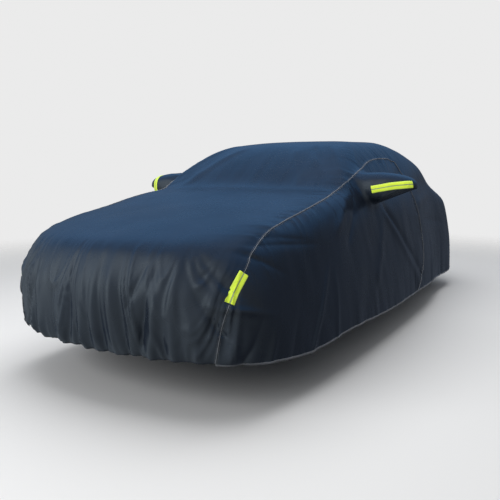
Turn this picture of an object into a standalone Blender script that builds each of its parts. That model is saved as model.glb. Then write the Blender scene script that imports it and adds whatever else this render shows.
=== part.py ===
"""Fitted outdoor cover in navy cloth, in the shape in which it hangs in use.

Lengths are in metres. The tables are in the ground frame: +X is the cover's left side, its front end
points to -Y, +Z is up, and the origin is on the ground, 1.03 m behind the front end. The finished
pieces are moved so that the origin lies under the roof, where the cover is carried.
"""
import bmesh
import bpy
import numpy as np
from mathutils import Vector
from mathutils.bvhtree import BVHTree

# ---------------------------------------------------------------- driving sizes
CLOTH = 0.0020            # coated cloth with its soft backing
GAP = 0.0006              # clear space between two pieces that are sewn edge to edge
CLEAR = 0.0004            # clear space under a piece that lies on the cloth
MERGE = 0.00002           # points this near are one point
ROOF_REST = (0.0, 1.60, 1.460)   # just under the roof, where the cover is carried: the part's origin

CORE_FRONT, CORE_REAR, CORE_HEIGHT = 0.0, 3.0, 0.45   # line inside the cover that rays start from
WALL_SOFTNESS, EDGE_SOFTNESS = 0.100, 0.057           # how round the upright and the upper edges hang
CABIN_SOFTNESS, GLASS_SOFTNESS = 0.038, 0.044
POCKET_SOFTNESS = 0.026

NOSE_BOW, TAIL_BOW, BOW_AT = 0.137, 0.150, 0.75       # how far the ends curve back at BOW_AT from the middle
ROOF_CROWN, ROOF_CROWN_AT = 0.022, 0.60
DECK_CROWN, DECK_CROWN_AT = 0.017, 0.85
SCREEN_BOW = 0.030
SCREEN_MIDDLE, SCREEN_FADE = 1.8, 0.6
GLASS_OUT, GLASS_HEIGHT, GLASS_SLOPE = 0.626, 1.370, 1.487

POCKET_CENTRE = (0.800, 0.815, 1.085)                 # one on each side, mirrored
POCKET_REACH = (0.350, 0.150, 0.106)
POCKET_SQUARENESS = 2.6
POCKET_CORE = (0.720, 0.815, 1.085)                   # where the rays to a pocket's cloth start from
POCKET_CROWD = 0.28                                   # spacing of the rays in the middle against those at its edge

PIPING_RADIUS = 0.0030
BINDING_WIDTH, BINDING_THICK = 0.009, 0.0034
STRIP_WIDTH, STRIP_THICK = 0.050, 0.0012
FRONT_LIFT = 0.0008       # how far above the cloth the strips lie, more on the pockets, which curve most
MIRROR_LIFTS = (0.0019, 0.0015)
STRIP_SEARCH = 0.010      # the cloth below a strip is looked for from this far out

SEAM_SPANS = 35           # top of the arched seam, from the front corner to the rear one
SKIRT_COLUMNS = 64        # columns across the gathered front skirt
TOP_COLUMNS = 22          # columns across the bonnet and the roof
ROW_BEND = 2.2            # how late a row bends away from the middle line's place
REAR_ROWS = 14
POCKET_COLUMNS = (17, 25)     # columns of the side panel that the mirror pocket takes
POCKET_ROWS = (6, 10)         # rows of the side panel that the mirror pocket takes, up to the seam
POCKET_FINER = (3, 4)         # how much finer the pocket's own grid is
STRIP_ROWS, STRIP_COLUMNS = 10, 4
SIDE_LEVELS = (0.0, 0.12, 0.24, 0.36, 0.48, 0.57, 0.66, 0.75, 0.84, 0.92, 1.0)

# ---------------------------------------------------------------- section tables
# height of the roof line along the cover: y, z
ROOF_LINE = ((-0.20, 0.80), (0.30, 0.98), (0.60, 1.22), (0.90, 1.385), (1.20, 1.45), (1.50, 1.462),
             (1.90, 1.478), (2.30, 1.43), (2.70, 1.32), (3.10, 1.12), (3.50, 0.96), (3.90, 0.80))
# height of the bonnet and the boot along the cover: y, z
DECK_LINE = ((-1.20, 0.76), (-0.90, 0.81), (-0.60, 0.895), (-0.20, 0.97), (0.30, 1.06), (1.00, 0.96),
             (2.50, 0.97), (3.20, 0.985), (3.70, 0.975), (4.00, 0.95))
# half width along the cover: y, x
WIDTH_LINE = ((-1.20, 0.80), (-0.60, 0.86), (0.00, 0.915), (1.00, 0.925), (2.00, 0.90), (2.90, 0.815),
              (3.60, 0.825), (4.00, 0.80))
# how far the sides lean in: z, inset
SIDE_LINE = ((0.20, -0.02), (0.45, -0.005), (0.70, 0.03), (0.90, 0.063), (1.10, 0.113))
# profile of the nose and of the tail: z, y
NOSE_LINE = ((0.20, -0.98), (0.40, -1.02), (0.60, -1.03), (0.80, -0.975), (1.00, -0.955))
TAIL_LINE = ((0.20, 3.69), (0.50, 3.76), (0.80, 3.77), (1.00, 3.745), (1.20, 3.65))
# height of the hem above the ground: y, z
HEM_LINE = ((-1.00, 0.28), (-0.67, 0.27), (-0.37, 0.24), (0.13, 0.255), (0.98, 0.228), (1.64, 0.228),
            (2.40, 0.205), (3.30, 0.180), (3.70, 0.235))

# the arched seam on one side, from the front hem to the rear hem: x, y, z
SEAM_RISE = ((0.680, -0.870, 0.282), (0.710, -0.870, 0.430), (0.737, -0.847, 0.555), (0.753, -0.807, 0.636),
             (0.765, -0.742, 0.717), (0.764, -0.685, 0.784))
SEAM_TOP = ((0.764, -0.685, 0.784), (0.760, -0.563, 0.856), (0.756, -0.356, 0.911), (0.760, -0.094, 0.963),
            (0.760, 0.170, 1.016), (0.747, 0.592, 1.128), (0.721, 0.910, 1.214), (0.685, 1.153, 1.273),
            (0.668, 1.378, 1.300), (0.663, 1.555, 1.309), (0.660, 1.720, 1.305), (0.672, 1.840, 1.285))
SEAM_FALL = ((0.672, 1.840, 1.285), (0.740, 1.875, 1.190), (0.826, 1.950, 0.960), (0.870, 1.990, 0.750),
             (0.900, 1.965, 0.520), (0.925, 1.850, 0.350), (0.940, 1.640, 0.228))
# where the front strips lie over the rise of the arched seam, as fractions of its length
STRIP_SPAN = (0.525, 0.800)
# the piping is left open under a strip: stations of the rise below and above it, with the parts of the
# first and the last span that each length of piping leaves free
PIPING_BELOW, PIPING_ABOVE = slice(0, 6), slice(7, None)
TRIM_BELOW, TRIM_ABOVE = (0.08, 0.59), (0.64, 0.08)
# middle lines of the strips on the mirror pockets, the left one level and the right one upright: x, y, z
LEFT_MIRROR_STRIP = ((0.885, 0.672, 1.070), (0.957, 0.682, 1.083), (1.023, 0.695, 1.095), (1.084, 0.720, 1.101),
                     (1.130, 0.765, 1.104))
RIGHT_MIRROR_STRIP = ((-1.045, 0.770, 1.172), (-1.045, 0.705, 1.135), (-1.045, 0.690, 1.085),
                      (-1.045, 0.707, 1.030), (-1.045, 0.745, 1.000))
# the hem of a side panel: x, y
SIDE_HEM = ((0.680, -0.870), (0.790, -0.780), (0.850, -0.667), (0.880, -0.530), (0.905, -0.370),
            (0.943, 0.130), (0.950, 0.500), (0.948, 0.980), (0.940, 1.640))
# the middle line, up the nose and along the top to the rear corners of the arches: y, z
NOSE_RISE = ((-0.990, 0.275), (-1.020, 0.420), (-1.030, 0.580), (-0.985, 0.740), (-0.940, 0.790))
TOP_RUN = ((-0.940, 0.790), (-0.850, 0.830), (-0.600, 0.900), (-0.200, 0.975), (0.300, 1.070), (0.600, 1.215),
           (0.900, 1.375), (1.200, 1.450), (1.600, 1.465), (1.960, 1.478))
# sections of the rear: hem y, then y and z where the section crosses the middle line
REAR_SECTIONS = ((1.64, 1.96, 1.478), (1.95, 2.25, 1.440), (2.25, 2.60, 1.350), (2.50, 2.95, 1.190),
                 (2.75, 3.25, 1.030), (2.95, 3.50, 0.965), (3.10, 3.70, 0.880), (3.22, 3.77, 0.700),
                 (3.34, 3.76, 0.470), (3.46, 3.70, 0.245))

# ---------------------------------------------------------------- folds
# A fold runs straight from one point to another, as seen from the front (x, z), the side (y, z) or the
# top (x, y). Columns: from, to, half width, height at its start, height at its end. Troughs are negative.
FRONT_FOLDS = (
    ((-0.600, 0.26), (-0.605, 0.46), 0.022, -0.014, -0.004),
    ((-0.620, 0.30), (-0.450, 0.62), 0.028, -0.020, -0.004),
    ((-0.520, 0.26), (-0.470, 0.50), 0.030, 0.014, 0.004),
    ((-0.400, 0.26), (-0.370, 0.56), 0.034, 0.013, 0.003),
    ((-0.315, 0.26), (-0.265, 0.61), 0.025, -0.019, -0.004),
    ((-0.215, 0.26), (-0.180, 0.56), 0.026, 0.013, 0.004),
    ((-0.105, 0.26), (-0.122, 0.62), 0.027, -0.020, -0.005),
    ((-0.050, 0.26), (-0.036, 0.50), 0.020, 0.010, 0.003),
    ((0.000, 0.26), (0.010, 0.57), 0.020, -0.013, -0.003),
    ((0.050, 0.26), (0.045, 0.60), 0.020, 0.010, 0.003),
    ((0.097, 0.26), (0.073, 0.67), 0.023, -0.018, -0.004),
    ((0.172, 0.26), (0.150, 0.60), 0.024, 0.015, 0.004),
    ((0.238, 0.26), (0.205, 0.64), 0.022, -0.016, -0.004),
    ((0.290, 0.60), (0.325, 0.69), 0.014, -0.008, -0.004),
    ((0.300, 0.27), (0.378, 0.64), 0.025, -0.028, -0.006),
    ((0.372, 0.26), (0.420, 0.60), 0.026, 0.016, 0.004),
    ((0.440, 0.26), (0.455, 0.55), 0.022, -0.010, -0.002),
    ((0.492, 0.26), (0.500, 0.60), 0.020, 0.009, 0.003),
    ((0.545, 0.26), (0.535, 0.52), 0.020, -0.010, -0.002),
    ((0.620, 0.26), (0.570, 0.56), 0.026, 0.009, 0.002),
    ((0.700, 0.45), (0.517, 0.76), 0.020, -0.015, -0.004),
    ((0.620, 0.69), (0.548, 0.77), 0.015, -0.008, -0.004),
    ((0.715, 0.65), (0.578, 0.78), 0.016, -0.010, -0.004),
    ((-0.690, 0.50), (-0.520, 0.75), 0.020, -0.011, -0.003),
)
LEFT_FOLDS = (
    ((-0.280, 0.27), (-0.105, 0.56), 0.020, 0.010, 0.005),
    ((-0.015, 0.29), (0.003, 0.52), 0.022, 0.006, 0.003),
    ((-0.560, 0.855), (-0.320, 0.825), 0.018, -0.008, -0.003),
    ((-0.620, 0.820), (-0.240, 0.790), 0.020, -0.009, -0.003),
    ((-0.690, 0.765), (-0.560, 0.700), 0.018, -0.009, -0.003),
    ((-0.840, 0.540), (-0.700, 0.505), 0.018, 0.008, 0.003),
    ((-0.790, 0.27), (-0.730, 0.40), 0.020, -0.012, -0.003),
    ((-0.840, 0.29), (-0.820, 0.45), 0.018, 0.009, 0.003),
    ((-0.660, 0.26), (-0.600, 0.42), 0.026, 0.009, 0.002),
    ((-0.480, 0.25), (-0.400, 0.47), 0.030, -0.008, -0.002),
    ((0.180, 0.88), (0.400, 1.02), 0.035, 0.009, 0.005),
    ((0.300, 0.80), (0.560, 1.06), 0.034, -0.008, -0.005),
    ((0.700, 0.50), (0.870, 0.72), 0.045, 0.007, 0.006),
    ((1.120, 0.89), (1.800, 0.36), 0.030, -0.014, -0.008),
    ((1.080, 0.84), (1.640, 0.36), 0.040, 0.010, 0.006),
    ((1.420, 1.06), (1.840, 1.20), 0.030, -0.012, -0.006),
    ((2.320, 0.775), (3.050, 0.705), 0.028, -0.012, -0.006),
    ((2.120, 0.930), (2.700, 0.980), 0.035, 0.010, 0.004),
    ((2.300, 0.25), (2.420, 0.60), 0.040, 0.010, 0.003),
    ((2.900, 0.24), (2.960, 0.55), 0.040, -0.010, -0.003),
)
RIGHT_FOLDS = (
    ((-0.420, 0.26), (-0.220, 0.60), 0.026, 0.009, 0.004),
    ((-0.600, 0.835), (-0.300, 0.800), 0.020, -0.009, -0.003),
    ((-0.770, 0.28), (-0.720, 0.42), 0.022, -0.012, -0.003),
    ((-0.660, 0.27), (-0.610, 0.40), 0.026, 0.009, 0.002),
    ((0.200, 0.26), (0.270, 0.56), 0.034, 0.008, 0.003),
    ((0.280, 0.84), (0.520, 1.04), 0.036, 0.009, 0.005),
    ((1.160, 0.88), (1.720, 0.40), 0.034, -0.013, -0.007),
    ((1.400, 1.05), (1.830, 1.18), 0.030, -0.011, -0.006),
    ((2.200, 0.740), (2.920, 0.690), 0.030, -0.011, -0.005),
    ((2.520, 0.24), (2.600, 0.58), 0.042, 0.010, 0.003),
)
TOP_FOLDS = (
    ((0.250, 0.80), (0.440, 0.46), 0.040, 0.009, 0.009),
    ((0.440, 0.46), (0.640, 0.05), 0.038, 0.009, 0.003),
    ((0.330, 0.98), (0.470, 0.69), 0.034, 0.008, 0.011),
    ((0.470, 0.69), (0.690, 0.43), 0.032, 0.011, 0.005),
    ((0.450, 0.96), (0.710, 0.58), 0.030, 0.010, 0.006),
    ((0.540, 1.10), (0.700, 0.86), 0.030, 0.008, 0.005),
    ((0.390, 0.85), (0.560, 0.56), 0.026, -0.008, -0.006),
    ((-0.300, 0.86), (-0.620, 0.30), 0.045, 0.008, 0.004),
    ((-0.450, 1.00), (-0.690, 0.62), 0.036, 0.009, 0.004),
    ((0.200, 3.02), (0.640, 3.30), 0.045, 0.009, 0.004),
    ((-0.120, 2.90), (-0.600, 3.24), 0.045, -0.009, -0.004),
)
REAR_FOLDS = tuple(
    ((x, 0.23), (x + lean, top), wide, height, height * 0.25)
    for x, lean, top, wide, height in (
        (-0.66, 0.03, 0.62, 0.034, -0.015), (-0.52, 0.01, 0.52, 0.036, 0.013), (-0.38, -0.03, 0.66, 0.032, -0.017),
        (-0.21, 0.02, 0.50, 0.038, 0.013), (-0.06, -0.02, 0.60, 0.032, -0.016), (0.10, 0.03, 0.54, 0.036, 0.013),
        (0.24, 0.01, 0.66, 0.032, -0.018), (0.41, -0.02, 0.50, 0.036, 0.012), (0.56, 0.02, 0.60, 0.032, -0.015)))
FOLD_FADE = 0.05          # a fold dies away over this length past its ends
FACING_LOW, FACING_HIGH = 0.25, 0.75    # how square a face must be to a view to take its folds


# ---------------------------------------------------------------- the hanging surface
def curve(table, at):
    """A smooth curve through a table of two columns, held level past its ends."""
    knots, values = np.array(table, float).T
    steps = np.diff(knots)
    rates = np.diff(values) / steps
    slopes = np.empty_like(values)
    slopes[0], slopes[-1] = rates[0], rates[-1]
    slopes[1:-1] = (rates[:-1] * steps[1:] + rates[1:] * steps[:-1]) / (steps[:-1] + steps[1:])
    at = np.clip(at, knots[0], knots[-1])
    i = np.clip(np.searchsorted(knots, at, side="right") - 1, 0, len(steps) - 1)
    t = (at - knots[i]) / steps[i]
    return ((1 + 2 * t) * (1 - t) ** 2 * values[i] + t * (1 - t) ** 2 * steps[i] * slopes[i]
            + t * t * (3 - 2 * t) * values[i + 1] + t * t * (t - 1) * steps[i] * slopes[i + 1])


def soft_max(a, b, softness):
    top = np.maximum(a, b)
    return top + softness * np.log(np.exp((a - top) / softness) + np.exp((b - top) / softness))


def ramp(value, low, high):
    t = np.clip((value - low) / (high - low), 0.0, 1.0)
    return t * t * (3 - 2 * t)


def pocket_field(points):
    """Distance from the rounded box that fills each mirror pocket, below zero inside it."""
    place = np.stack([np.abs(points[..., 0]), points[..., 1], points[..., 2]], -1)
    offset = np.abs(place - POCKET_CENTRE) / POCKET_REACH
    near = (offset ** POCKET_SQUARENESS).sum(-1) ** (1 / POCKET_SQUARENESS)
    slopes = (offset / np.maximum(near, 1e-6)[..., None]) ** (POCKET_SQUARENESS - 1) / POCKET_REACH
    return (near - 1) / np.linalg.norm(slopes, axis=-1)


def cover_field(points):
    """Below zero inside the cover: soft corners between its ends, its sides and its top."""
    x, y, z = np.abs(points[..., 0]), points[..., 1], points[..., 2]
    front = curve(NOSE_LINE, z) + NOSE_BOW * (x / BOW_AT) ** 2 - y
    rear = y - curve(TAIL_LINE, z) + TAIL_BOW * (x / BOW_AT) ** 2
    side = x - curve(WIDTH_LINE, y) + curve(SIDE_LINE, z)
    wall = soft_max(soft_max(front, rear, WALL_SOFTNESS), side, WALL_SOFTNESS)
    swing = np.clip((y - SCREEN_MIDDLE) / SCREEN_FADE, -1, 1)
    roof = curve(ROOF_LINE, y + SCREEN_BOW * x * x * swing) - ROOF_CROWN * (x / ROOF_CROWN_AT) ** 2
    glass = GLASS_HEIGHT + (GLASS_OUT - x) * GLASS_SLOPE
    cabin = -soft_max(-roof, -glass, GLASS_SOFTNESS)
    deck = curve(DECK_LINE, y) - DECK_CROWN * (x / DECK_CROWN_AT) ** 2
    top = z - soft_max(cabin, deck, CABIN_SOFTNESS)
    body = soft_max(wall, top, EDGE_SOFTNESS)
    return -soft_max(-body, -pocket_field(points), POCKET_SOFTNESS)


def cast(starts, directions):
    """The point of the cover on each ray that starts inside it."""
    directions = directions / np.linalg.norm(directions, axis=-1, keepdims=True)
    near = np.zeros(starts.shape[:-1])
    far = near + 3.0
    for _ in range(36):
        middle = (near + far) / 2
        outside = cover_field(starts + directions * middle[..., None]) > 0
        far = np.where(outside, middle, far)
        near = np.where(outside, near, middle)
    return starts + directions * near[..., None]


def onto_cover(points):
    """Move points onto the cover, away from the core line and level below its height."""
    points = np.asarray(points, float)
    core = np.stack([np.zeros(points.shape[:-1]), np.clip(points[..., 1], CORE_FRONT, CORE_REAR),
                     np.minimum(points[..., 2], CORE_HEIGHT)], -1)
    return cast(core, points - core)


def nearest(points):
    """Move points that are near the cover straight onto it."""
    points = np.asarray(points, float)
    for _ in range(8):
        normals = outward(points)
        steepness = (cover_field(points + normals * 0.001) - cover_field(points - normals * 0.001)) / 0.002
        points = points - normals * (cover_field(points) / steepness)[..., None]
    return points


def outward(points):
    """Unit normals of the cover."""
    step = 0.002
    slopes = [(cover_field(points + step * axis) - cover_field(points - step * axis)) for axis in np.eye(3)]
    normal = np.stack(slopes, -1)
    return normal / np.linalg.norm(normal, axis=-1, keepdims=True)


def fold_height(points, normals):
    """How far the folds push the cloth out or in at each point."""
    x, y, z = points[..., 0], points[..., 1], points[..., 2]
    left = ramp(normals[..., 0], FACING_LOW, FACING_HIGH)
    right = ramp(-normals[..., 0], FACING_LOW, FACING_HIGH)
    front = ramp(-normals[..., 1], FACING_LOW, FACING_HIGH)
    rear = ramp(normals[..., 1], FACING_LOW, FACING_HIGH)
    top = ramp(normals[..., 2], FACING_LOW, FACING_HIGH)
    total = np.zeros(points.shape[:-1])
    for folds, across, up, facing in ((FRONT_FOLDS, x, z, front), (LEFT_FOLDS, y, z, left),
                                      (RIGHT_FOLDS, y, z, right), (TOP_FOLDS, x, y, top),
                                      (REAR_FOLDS, x, z, rear)):
        for start, end, wide, first, last in folds:
            run = np.subtract(end, start)
            length = np.hypot(*run)
            along = ((across - start[0]) * run[0] + (up - start[1]) * run[1]) / length
            aside = ((across - start[0]) * run[1] - (up - start[1]) * run[0]) / length
            t = np.clip(along / length, 0, 1)
            past = np.maximum(np.maximum(-along, along - length), 0)
            shape = np.exp(-(aside / wide) ** 2 - (past / FOLD_FADE) ** 2)
            total = total + facing * shape * (first + (last - first) * t)
    return total


def hang(guess, place=onto_cover):
    """Cloth points near the guesses, with their folds, and the normals there."""
    base = place(guess)
    normals = outward(base)
    return base + normals * fold_height(base, normals)[..., None], normals


# ---------------------------------------------------------------- paths and grids of points
def walk(points, fractions):
    """Points of a smooth path through the given ones, at fractions of its length."""
    points = np.array(points, float)
    reach = np.concatenate([[0], np.cumsum(np.linalg.norm(np.diff(points, axis=0), axis=1))])
    fractions = np.asarray(fractions) * reach[-1]
    return np.stack([curve(np.stack([reach, column], 1), fractions) for column in points.T], 1)


def even(count):
    return np.linspace(0, 1, count + 1)


def mirrored(points, side):
    return np.asarray(points) * (side, 1, 1)


def arch(side):
    """Stations of the arched seam of one side, in three runs: up from the front hem, along and down."""
    levels = np.array(SIDE_LEVELS)
    runs = walk(SEAM_RISE, levels), walk(SEAM_TOP, even(SEAM_SPANS)), walk(SEAM_FALL, 1 - levels[::-1])
    return [mirrored(onto_cover(run), side) for run in runs]


def front_rows():
    """Rows across the top panel, from the front hem up the nose and back to the arches' rear corners."""
    rise, top, _ = arch(1)
    edges = np.concatenate([rise, top[1:]])
    middle = np.concatenate([walk(NOSE_RISE, SIDE_LEVELS), walk(TOP_RUN, even(SEAM_SPANS))[1:]])
    rows = []
    for k, (edge, (y, z)) in enumerate(zip(edges, middle)):
        across = np.linspace(-1, 1, 1 + (SKIRT_COLUMNS if k < len(rise) else TOP_COLUMNS))
        bend = np.abs(across) ** ROW_BEND
        rows.append(np.stack([across * edge[0], y + (edge[1] - y) * bend, z + (edge[2] - z) * bend], 1))
    return [onto_cover(row) for row in rows]


def side_grid(side):
    """Rows of a side panel from the hem to the arched seam, by blending its four edges."""
    rise, top, fall = arch(1)
    plan = walk(SIDE_HEM, even(len(top) - 1))
    hem = np.column_stack([plan, curve(HEM_LINE, plan[:, 1])])
    hem[0], hem[-1] = rise[0], fall[-1]
    u = even(len(top) - 1)[None, :, None]
    v = np.array(SIDE_LEVELS)[:, None, None]
    rear = fall[::-1]
    corners = ((1 - u) * ((1 - v) * hem[0] + v * top[0]) + u * ((1 - v) * hem[-1] + v * top[-1]))
    grid = (1 - v) * hem + v * top + (1 - u) * rise[:, None] + u * rear[:, None] - corners
    return mirrored(onto_cover(grid), side)


def rear_rows(roof):
    """Rows behind the arches: cuts from one side hem over the top to the other, turning into the rear hem."""
    first = np.concatenate([arch(-1)[2][::-1], roof[1:], arch(1)[2][1:]])
    reach = np.cumsum(np.concatenate([[0], np.linalg.norm(np.diff(first, axis=0), axis=1)]))
    angles = np.linspace(-np.pi / 2, np.pi / 2, 361)
    rows, drift = [], None
    for s, (hem_y, y, z) in zip(even(REAR_ROWS), walk(REAR_SECTIONS, even(REAR_ROWS))):
        hem_z = float(curve(HEM_LINE, hem_y))
        start = np.array((0.0, hem_y, hem_z))
        rise = np.array((0.0, y - hem_y, max(z - hem_z, 0.0)))
        rise /= np.linalg.norm(rise)
        rays = np.sin(angles)[:, None] * np.array((1.0, 0, 0)) + np.cos(angles)[:, None] * rise
        cut = cast(np.broadcast_to(start, rays.shape), rays)
        row = walk(cut, reach / reach[-1])
        drift = first - row if drift is None else drift
        rows.append(onto_cover(row + drift * (1 - s) ** 1.5))
    rows[0] = first
    return rows


def whole_hem(left, right, rows):
    """The bound hem, from the left front corner round the back to the right one, and the points above it."""
    behind = [row[-1] for row in rows[1:-1]] + list(rows[-1][::-1]) + [row[0] for row in rows[-2:0:-1]]
    inner = [row[-2] for row in rows[1:-1]] + list(rows[-2][::-1]) + [row[1] for row in rows[-2:0:-1]]
    inner[len(rows) - 2], inner[-len(rows) + 1] = rows[-2][-2], rows[-2][1]
    return np.concatenate([left[0], behind, right[0][::-1]]), np.concatenate([left[1], inner, right[1][::-1]])


# ---------------------------------------------------------------- pieces
def colour_of(name, rgb, roughness):
    material = bpy.data.materials.new(name)
    material.use_nodes = True
    surface = material.node_tree.nodes["Principled BSDF"]
    surface.inputs["Base Color"].default_value = (*rgb, 1.0)
    surface.inputs["Roughness"].default_value = roughness
    surface.inputs["Metallic"].default_value = 0.0
    return material


def stitch(bm, lower, upper):
    """Faces between two rows of vertices, which need not have the same count."""
    i = j = 0
    last_i, last_j = len(lower) - 1, len(upper) - 1
    while i < last_i or j < last_j:
        if last_i == last_j:
            bm.faces.new((lower[i], lower[i + 1], upper[j + 1], upper[j]))
            i, j = i + 1, j + 1
        elif j == last_j or (i < last_i and (i + 1) * last_j <= (j + 1) * last_i):
            bm.faces.new((lower[i], lower[i + 1], upper[j]))
            i += 1
        else:
            bm.faces.new((lower[i], upper[j + 1], upper[j]))
            j += 1


def draw_back(bm, distance):
    """Move each edge vertex of an open sheet into the sheet, square to its edge."""
    moves = []
    for vertex in bm.verts:
        edges = [edge for edge in vertex.link_edges if edge.is_boundary]
        if len(edges) != 2:
            continue
        ends = [edge.other_vert(vertex).co for edge in edges]
        tangent = (ends[1] - ends[0]).normalized()
        inward = sum((face.calc_center_median() - vertex.co for face in vertex.link_faces), vertex.co * 0)
        inward -= tangent * inward.dot(tangent)
        moves.append((vertex, inward.normalized() * distance))
    for vertex, move in moves:
        vertex.co += move


def thicken(bm, layer, height):
    """Give an open sheet its thickness, along the normals kept in the layer."""
    for item in bmesh.ops.extrude_face_region(bm, geom=list(bm.faces))["geom"]:
        if isinstance(item, bmesh.types.BMVert):
            item.co += item[layer] * height


def finish(bm, name, material):
    bmesh.ops.recalc_face_normals(bm, faces=bm.faces)
    bmesh.ops.translate(bm, verts=bm.verts, vec=[-value for value in ROOF_REST])
    mesh = bpy.data.meshes.new(name)
    bm.to_mesh(mesh)
    bm.free()
    mesh.materials.append(material)
    mesh.shade_smooth()
    mesh.set_sharp_from_angle(angle=np.radians(50))
    piece = bpy.data.objects.new(name, mesh)
    bpy.context.scene.collection.objects.link(piece)
    return piece


def sheet(name, runs, material, hole=None, rim=None, place=onto_cover):
    """A sheet of cloth whose outer face goes through the rows of each run, its edges clear of its neighbours.

    Runs that share points become one sheet. The hole is a block of faces left out, rim gives the places
    of the sheet's own edge where that has to follow a neighbour's, and place moves points onto the cover.
    """
    bm = bmesh.new()
    layer = bm.verts.layers.float_vector.new("outward")
    lines = []
    for rows in runs:
        lines = []
        for k, row in enumerate(rows):
            points, normals = hang(row, place)
            if rim is not None:
                ends = slice(None) if k in (0, len(rows) - 1) else [0, -1]
                points[ends] = rim[k][ends]
            lines.append([bm.verts.new(point) for point in points])
            for vertex, normal in zip(lines[-1], normals):
                vertex[layer] = normal
        for lower, upper in zip(lines, lines[1:]):
            stitch(bm, lower, upper)
    if hole:
        (first, last), (bottom, top) = hole
        inside = {vertex for line in lines[bottom:top + 1] for vertex in line[first:last + 1]}
        bmesh.ops.delete(bm, geom=[face for face in bm.faces if inside.issuperset(face.verts)], context="FACES")
    bmesh.ops.remove_doubles(bm, verts=bm.verts, dist=MERGE)
    draw_back(bm, GAP / 2)
    thicken(bm, layer, -CLOTH)
    return finish(bm, name, material)


def pocket(name, side, grid, material):
    """The mirror pocket: the part of the side that the panel leaves open, on a finer grid, crowded to its middle."""
    (first, last), (bottom, top) = POCKET_COLUMNS, POCKET_ROWS
    coarse = grid[bottom:top + 1, first:last + 1]
    edges = np.stack([hang(row)[0] for row in coarse])
    finer_u, finer_v = POCKET_FINER
    u = np.arange((last - first) * finer_u + 1) / finer_u
    v = np.arange((top - bottom) * finer_v + 1) / finer_v

    def between(grid, at_v, at_u):
        i = np.minimum(at_v.astype(int), grid.shape[0] - 2)
        j = np.minimum(at_u.astype(int), grid.shape[1] - 2)
        s, t = (at_v - i)[:, None, None], (at_u - j)[None, :, None]
        i, j = i[:, None], j[None, :]
        return ((1 - s) * ((1 - t) * grid[i, j] + t * grid[i, j + 1])
                + s * ((1 - t) * grid[i + 1, j] + t * grid[i + 1, j + 1]))

    core = mirrored(POCKET_CORE, side)
    flat = between(coarse, v, u)
    from_edge = ((2 * u / u[-1] - 1) ** 4 + (2 * v[:, None] / v[-1] - 1) ** 4) ** 0.25
    crowd = POCKET_CROWD + (1 - POCKET_CROWD) * np.minimum(from_edge, 1) ** 2
    root = np.array((flat[..., 0].mean(), core[1], core[2]))
    rays = root + (flat - root) * crowd[..., None] - core
    points = cast(np.broadcast_to(core, rays.shape), rays)
    return sheet(name, [points], material, rim=between(edges, v, u), place=nearest)


def bar(name, sections, material):
    """A closed bar through four-cornered sections."""
    bm = bmesh.new()
    rings = [[bm.verts.new(corner) for corner in section] for section in sections]
    for ring, after in zip(rings, rings[1:]):
        for k in range(4):
            bm.faces.new((ring[k], ring[k - 1], after[k - 1], after[k]))
    bm.faces.new(rings[0])
    bm.faces.new(rings[-1])
    return finish(bm, name, material)


def piping(name, path, trim, material):
    """A four-sided cord along a seam, one corner down over the gap between the panels."""
    points, normals = hang(path)
    points[0] += (points[1] - points[0]) * trim[0]
    points[-1] += (points[-2] - points[-1]) * trim[1]
    aside = np.cross(np.gradient(points, axis=0), normals)
    aside *= PIPING_RADIUS / np.linalg.norm(aside, axis=1, keepdims=True)
    middle = points + normals * (PIPING_RADIUS + CLEAR)
    rise = normals * PIPING_RADIUS
    return bar(name, zip(middle - rise, middle + aside, middle + rise, middle - aside), material)


def binding(name, hem, above, material):
    """A tape below a hem, edge to edge with the cloth and a little thicker."""
    edge, normals = hang(hem)
    down = edge - hang(above)[0]
    along = np.gradient(edge, axis=0)
    along /= np.linalg.norm(along, axis=1, keepdims=True)
    down -= along * (down * along).sum(1, keepdims=True)
    down /= np.linalg.norm(down, axis=1, keepdims=True)
    high, low = edge + down * GAP, edge + down * (GAP + BINDING_WIDTH)
    proud = normals * (BINDING_THICK - CLOTH) / 2
    deep = proud - normals * BINDING_THICK
    return bar(name, zip(low + deep, high + deep, high + proud, low + proud), material)


def strip(name, path, pieces, lift, material):
    """A reflective strip, laid along a path on the pieces given."""
    across = np.linspace(-0.5, 0.5, STRIP_COLUMNS + 1)
    line = nearest(path)
    aside = np.cross(np.gradient(line, axis=0), outward(line))
    aside *= STRIP_WIDTH / np.linalg.norm(aside, axis=1, keepdims=True)
    points = nearest(line[:, None] + aside[:, None] * across[None, :, None])
    normals = outward(points)
    points += normals * fold_height(points, normals)[..., None]
    origin = Vector(ROOF_REST)
    trees = []
    for piece in pieces:
        bm = bmesh.new()
        bm.from_mesh(piece.data)
        trees.append(BVHTree.FromBMesh(bm))
        bm.free()
    bm = bmesh.new()
    layer = bm.verts.layers.float_vector.new("outward")
    lines = []
    for row, row_normals in zip(points, normals):
        lines.append([])
        for point, normal in zip(row, row_normals):
            point, normal = Vector(point), Vector(normal)
            above = point + normal * STRIP_SEARCH
            found = min((tree.find_nearest(above - origin) for tree in trees), key=lambda hit: hit[3])
            height = max((found[0] + origin - point).dot(normal), 0.0) + lift
            vertex = bm.verts.new(point + normal * height)
            vertex[layer] = normal
            lines[-1].append(vertex)
    for lower, upper in zip(lines, lines[1:]):
        stitch(bm, lower, upper)
    thicken(bm, layer, STRIP_THICK)
    return finish(bm, name, material)


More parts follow.
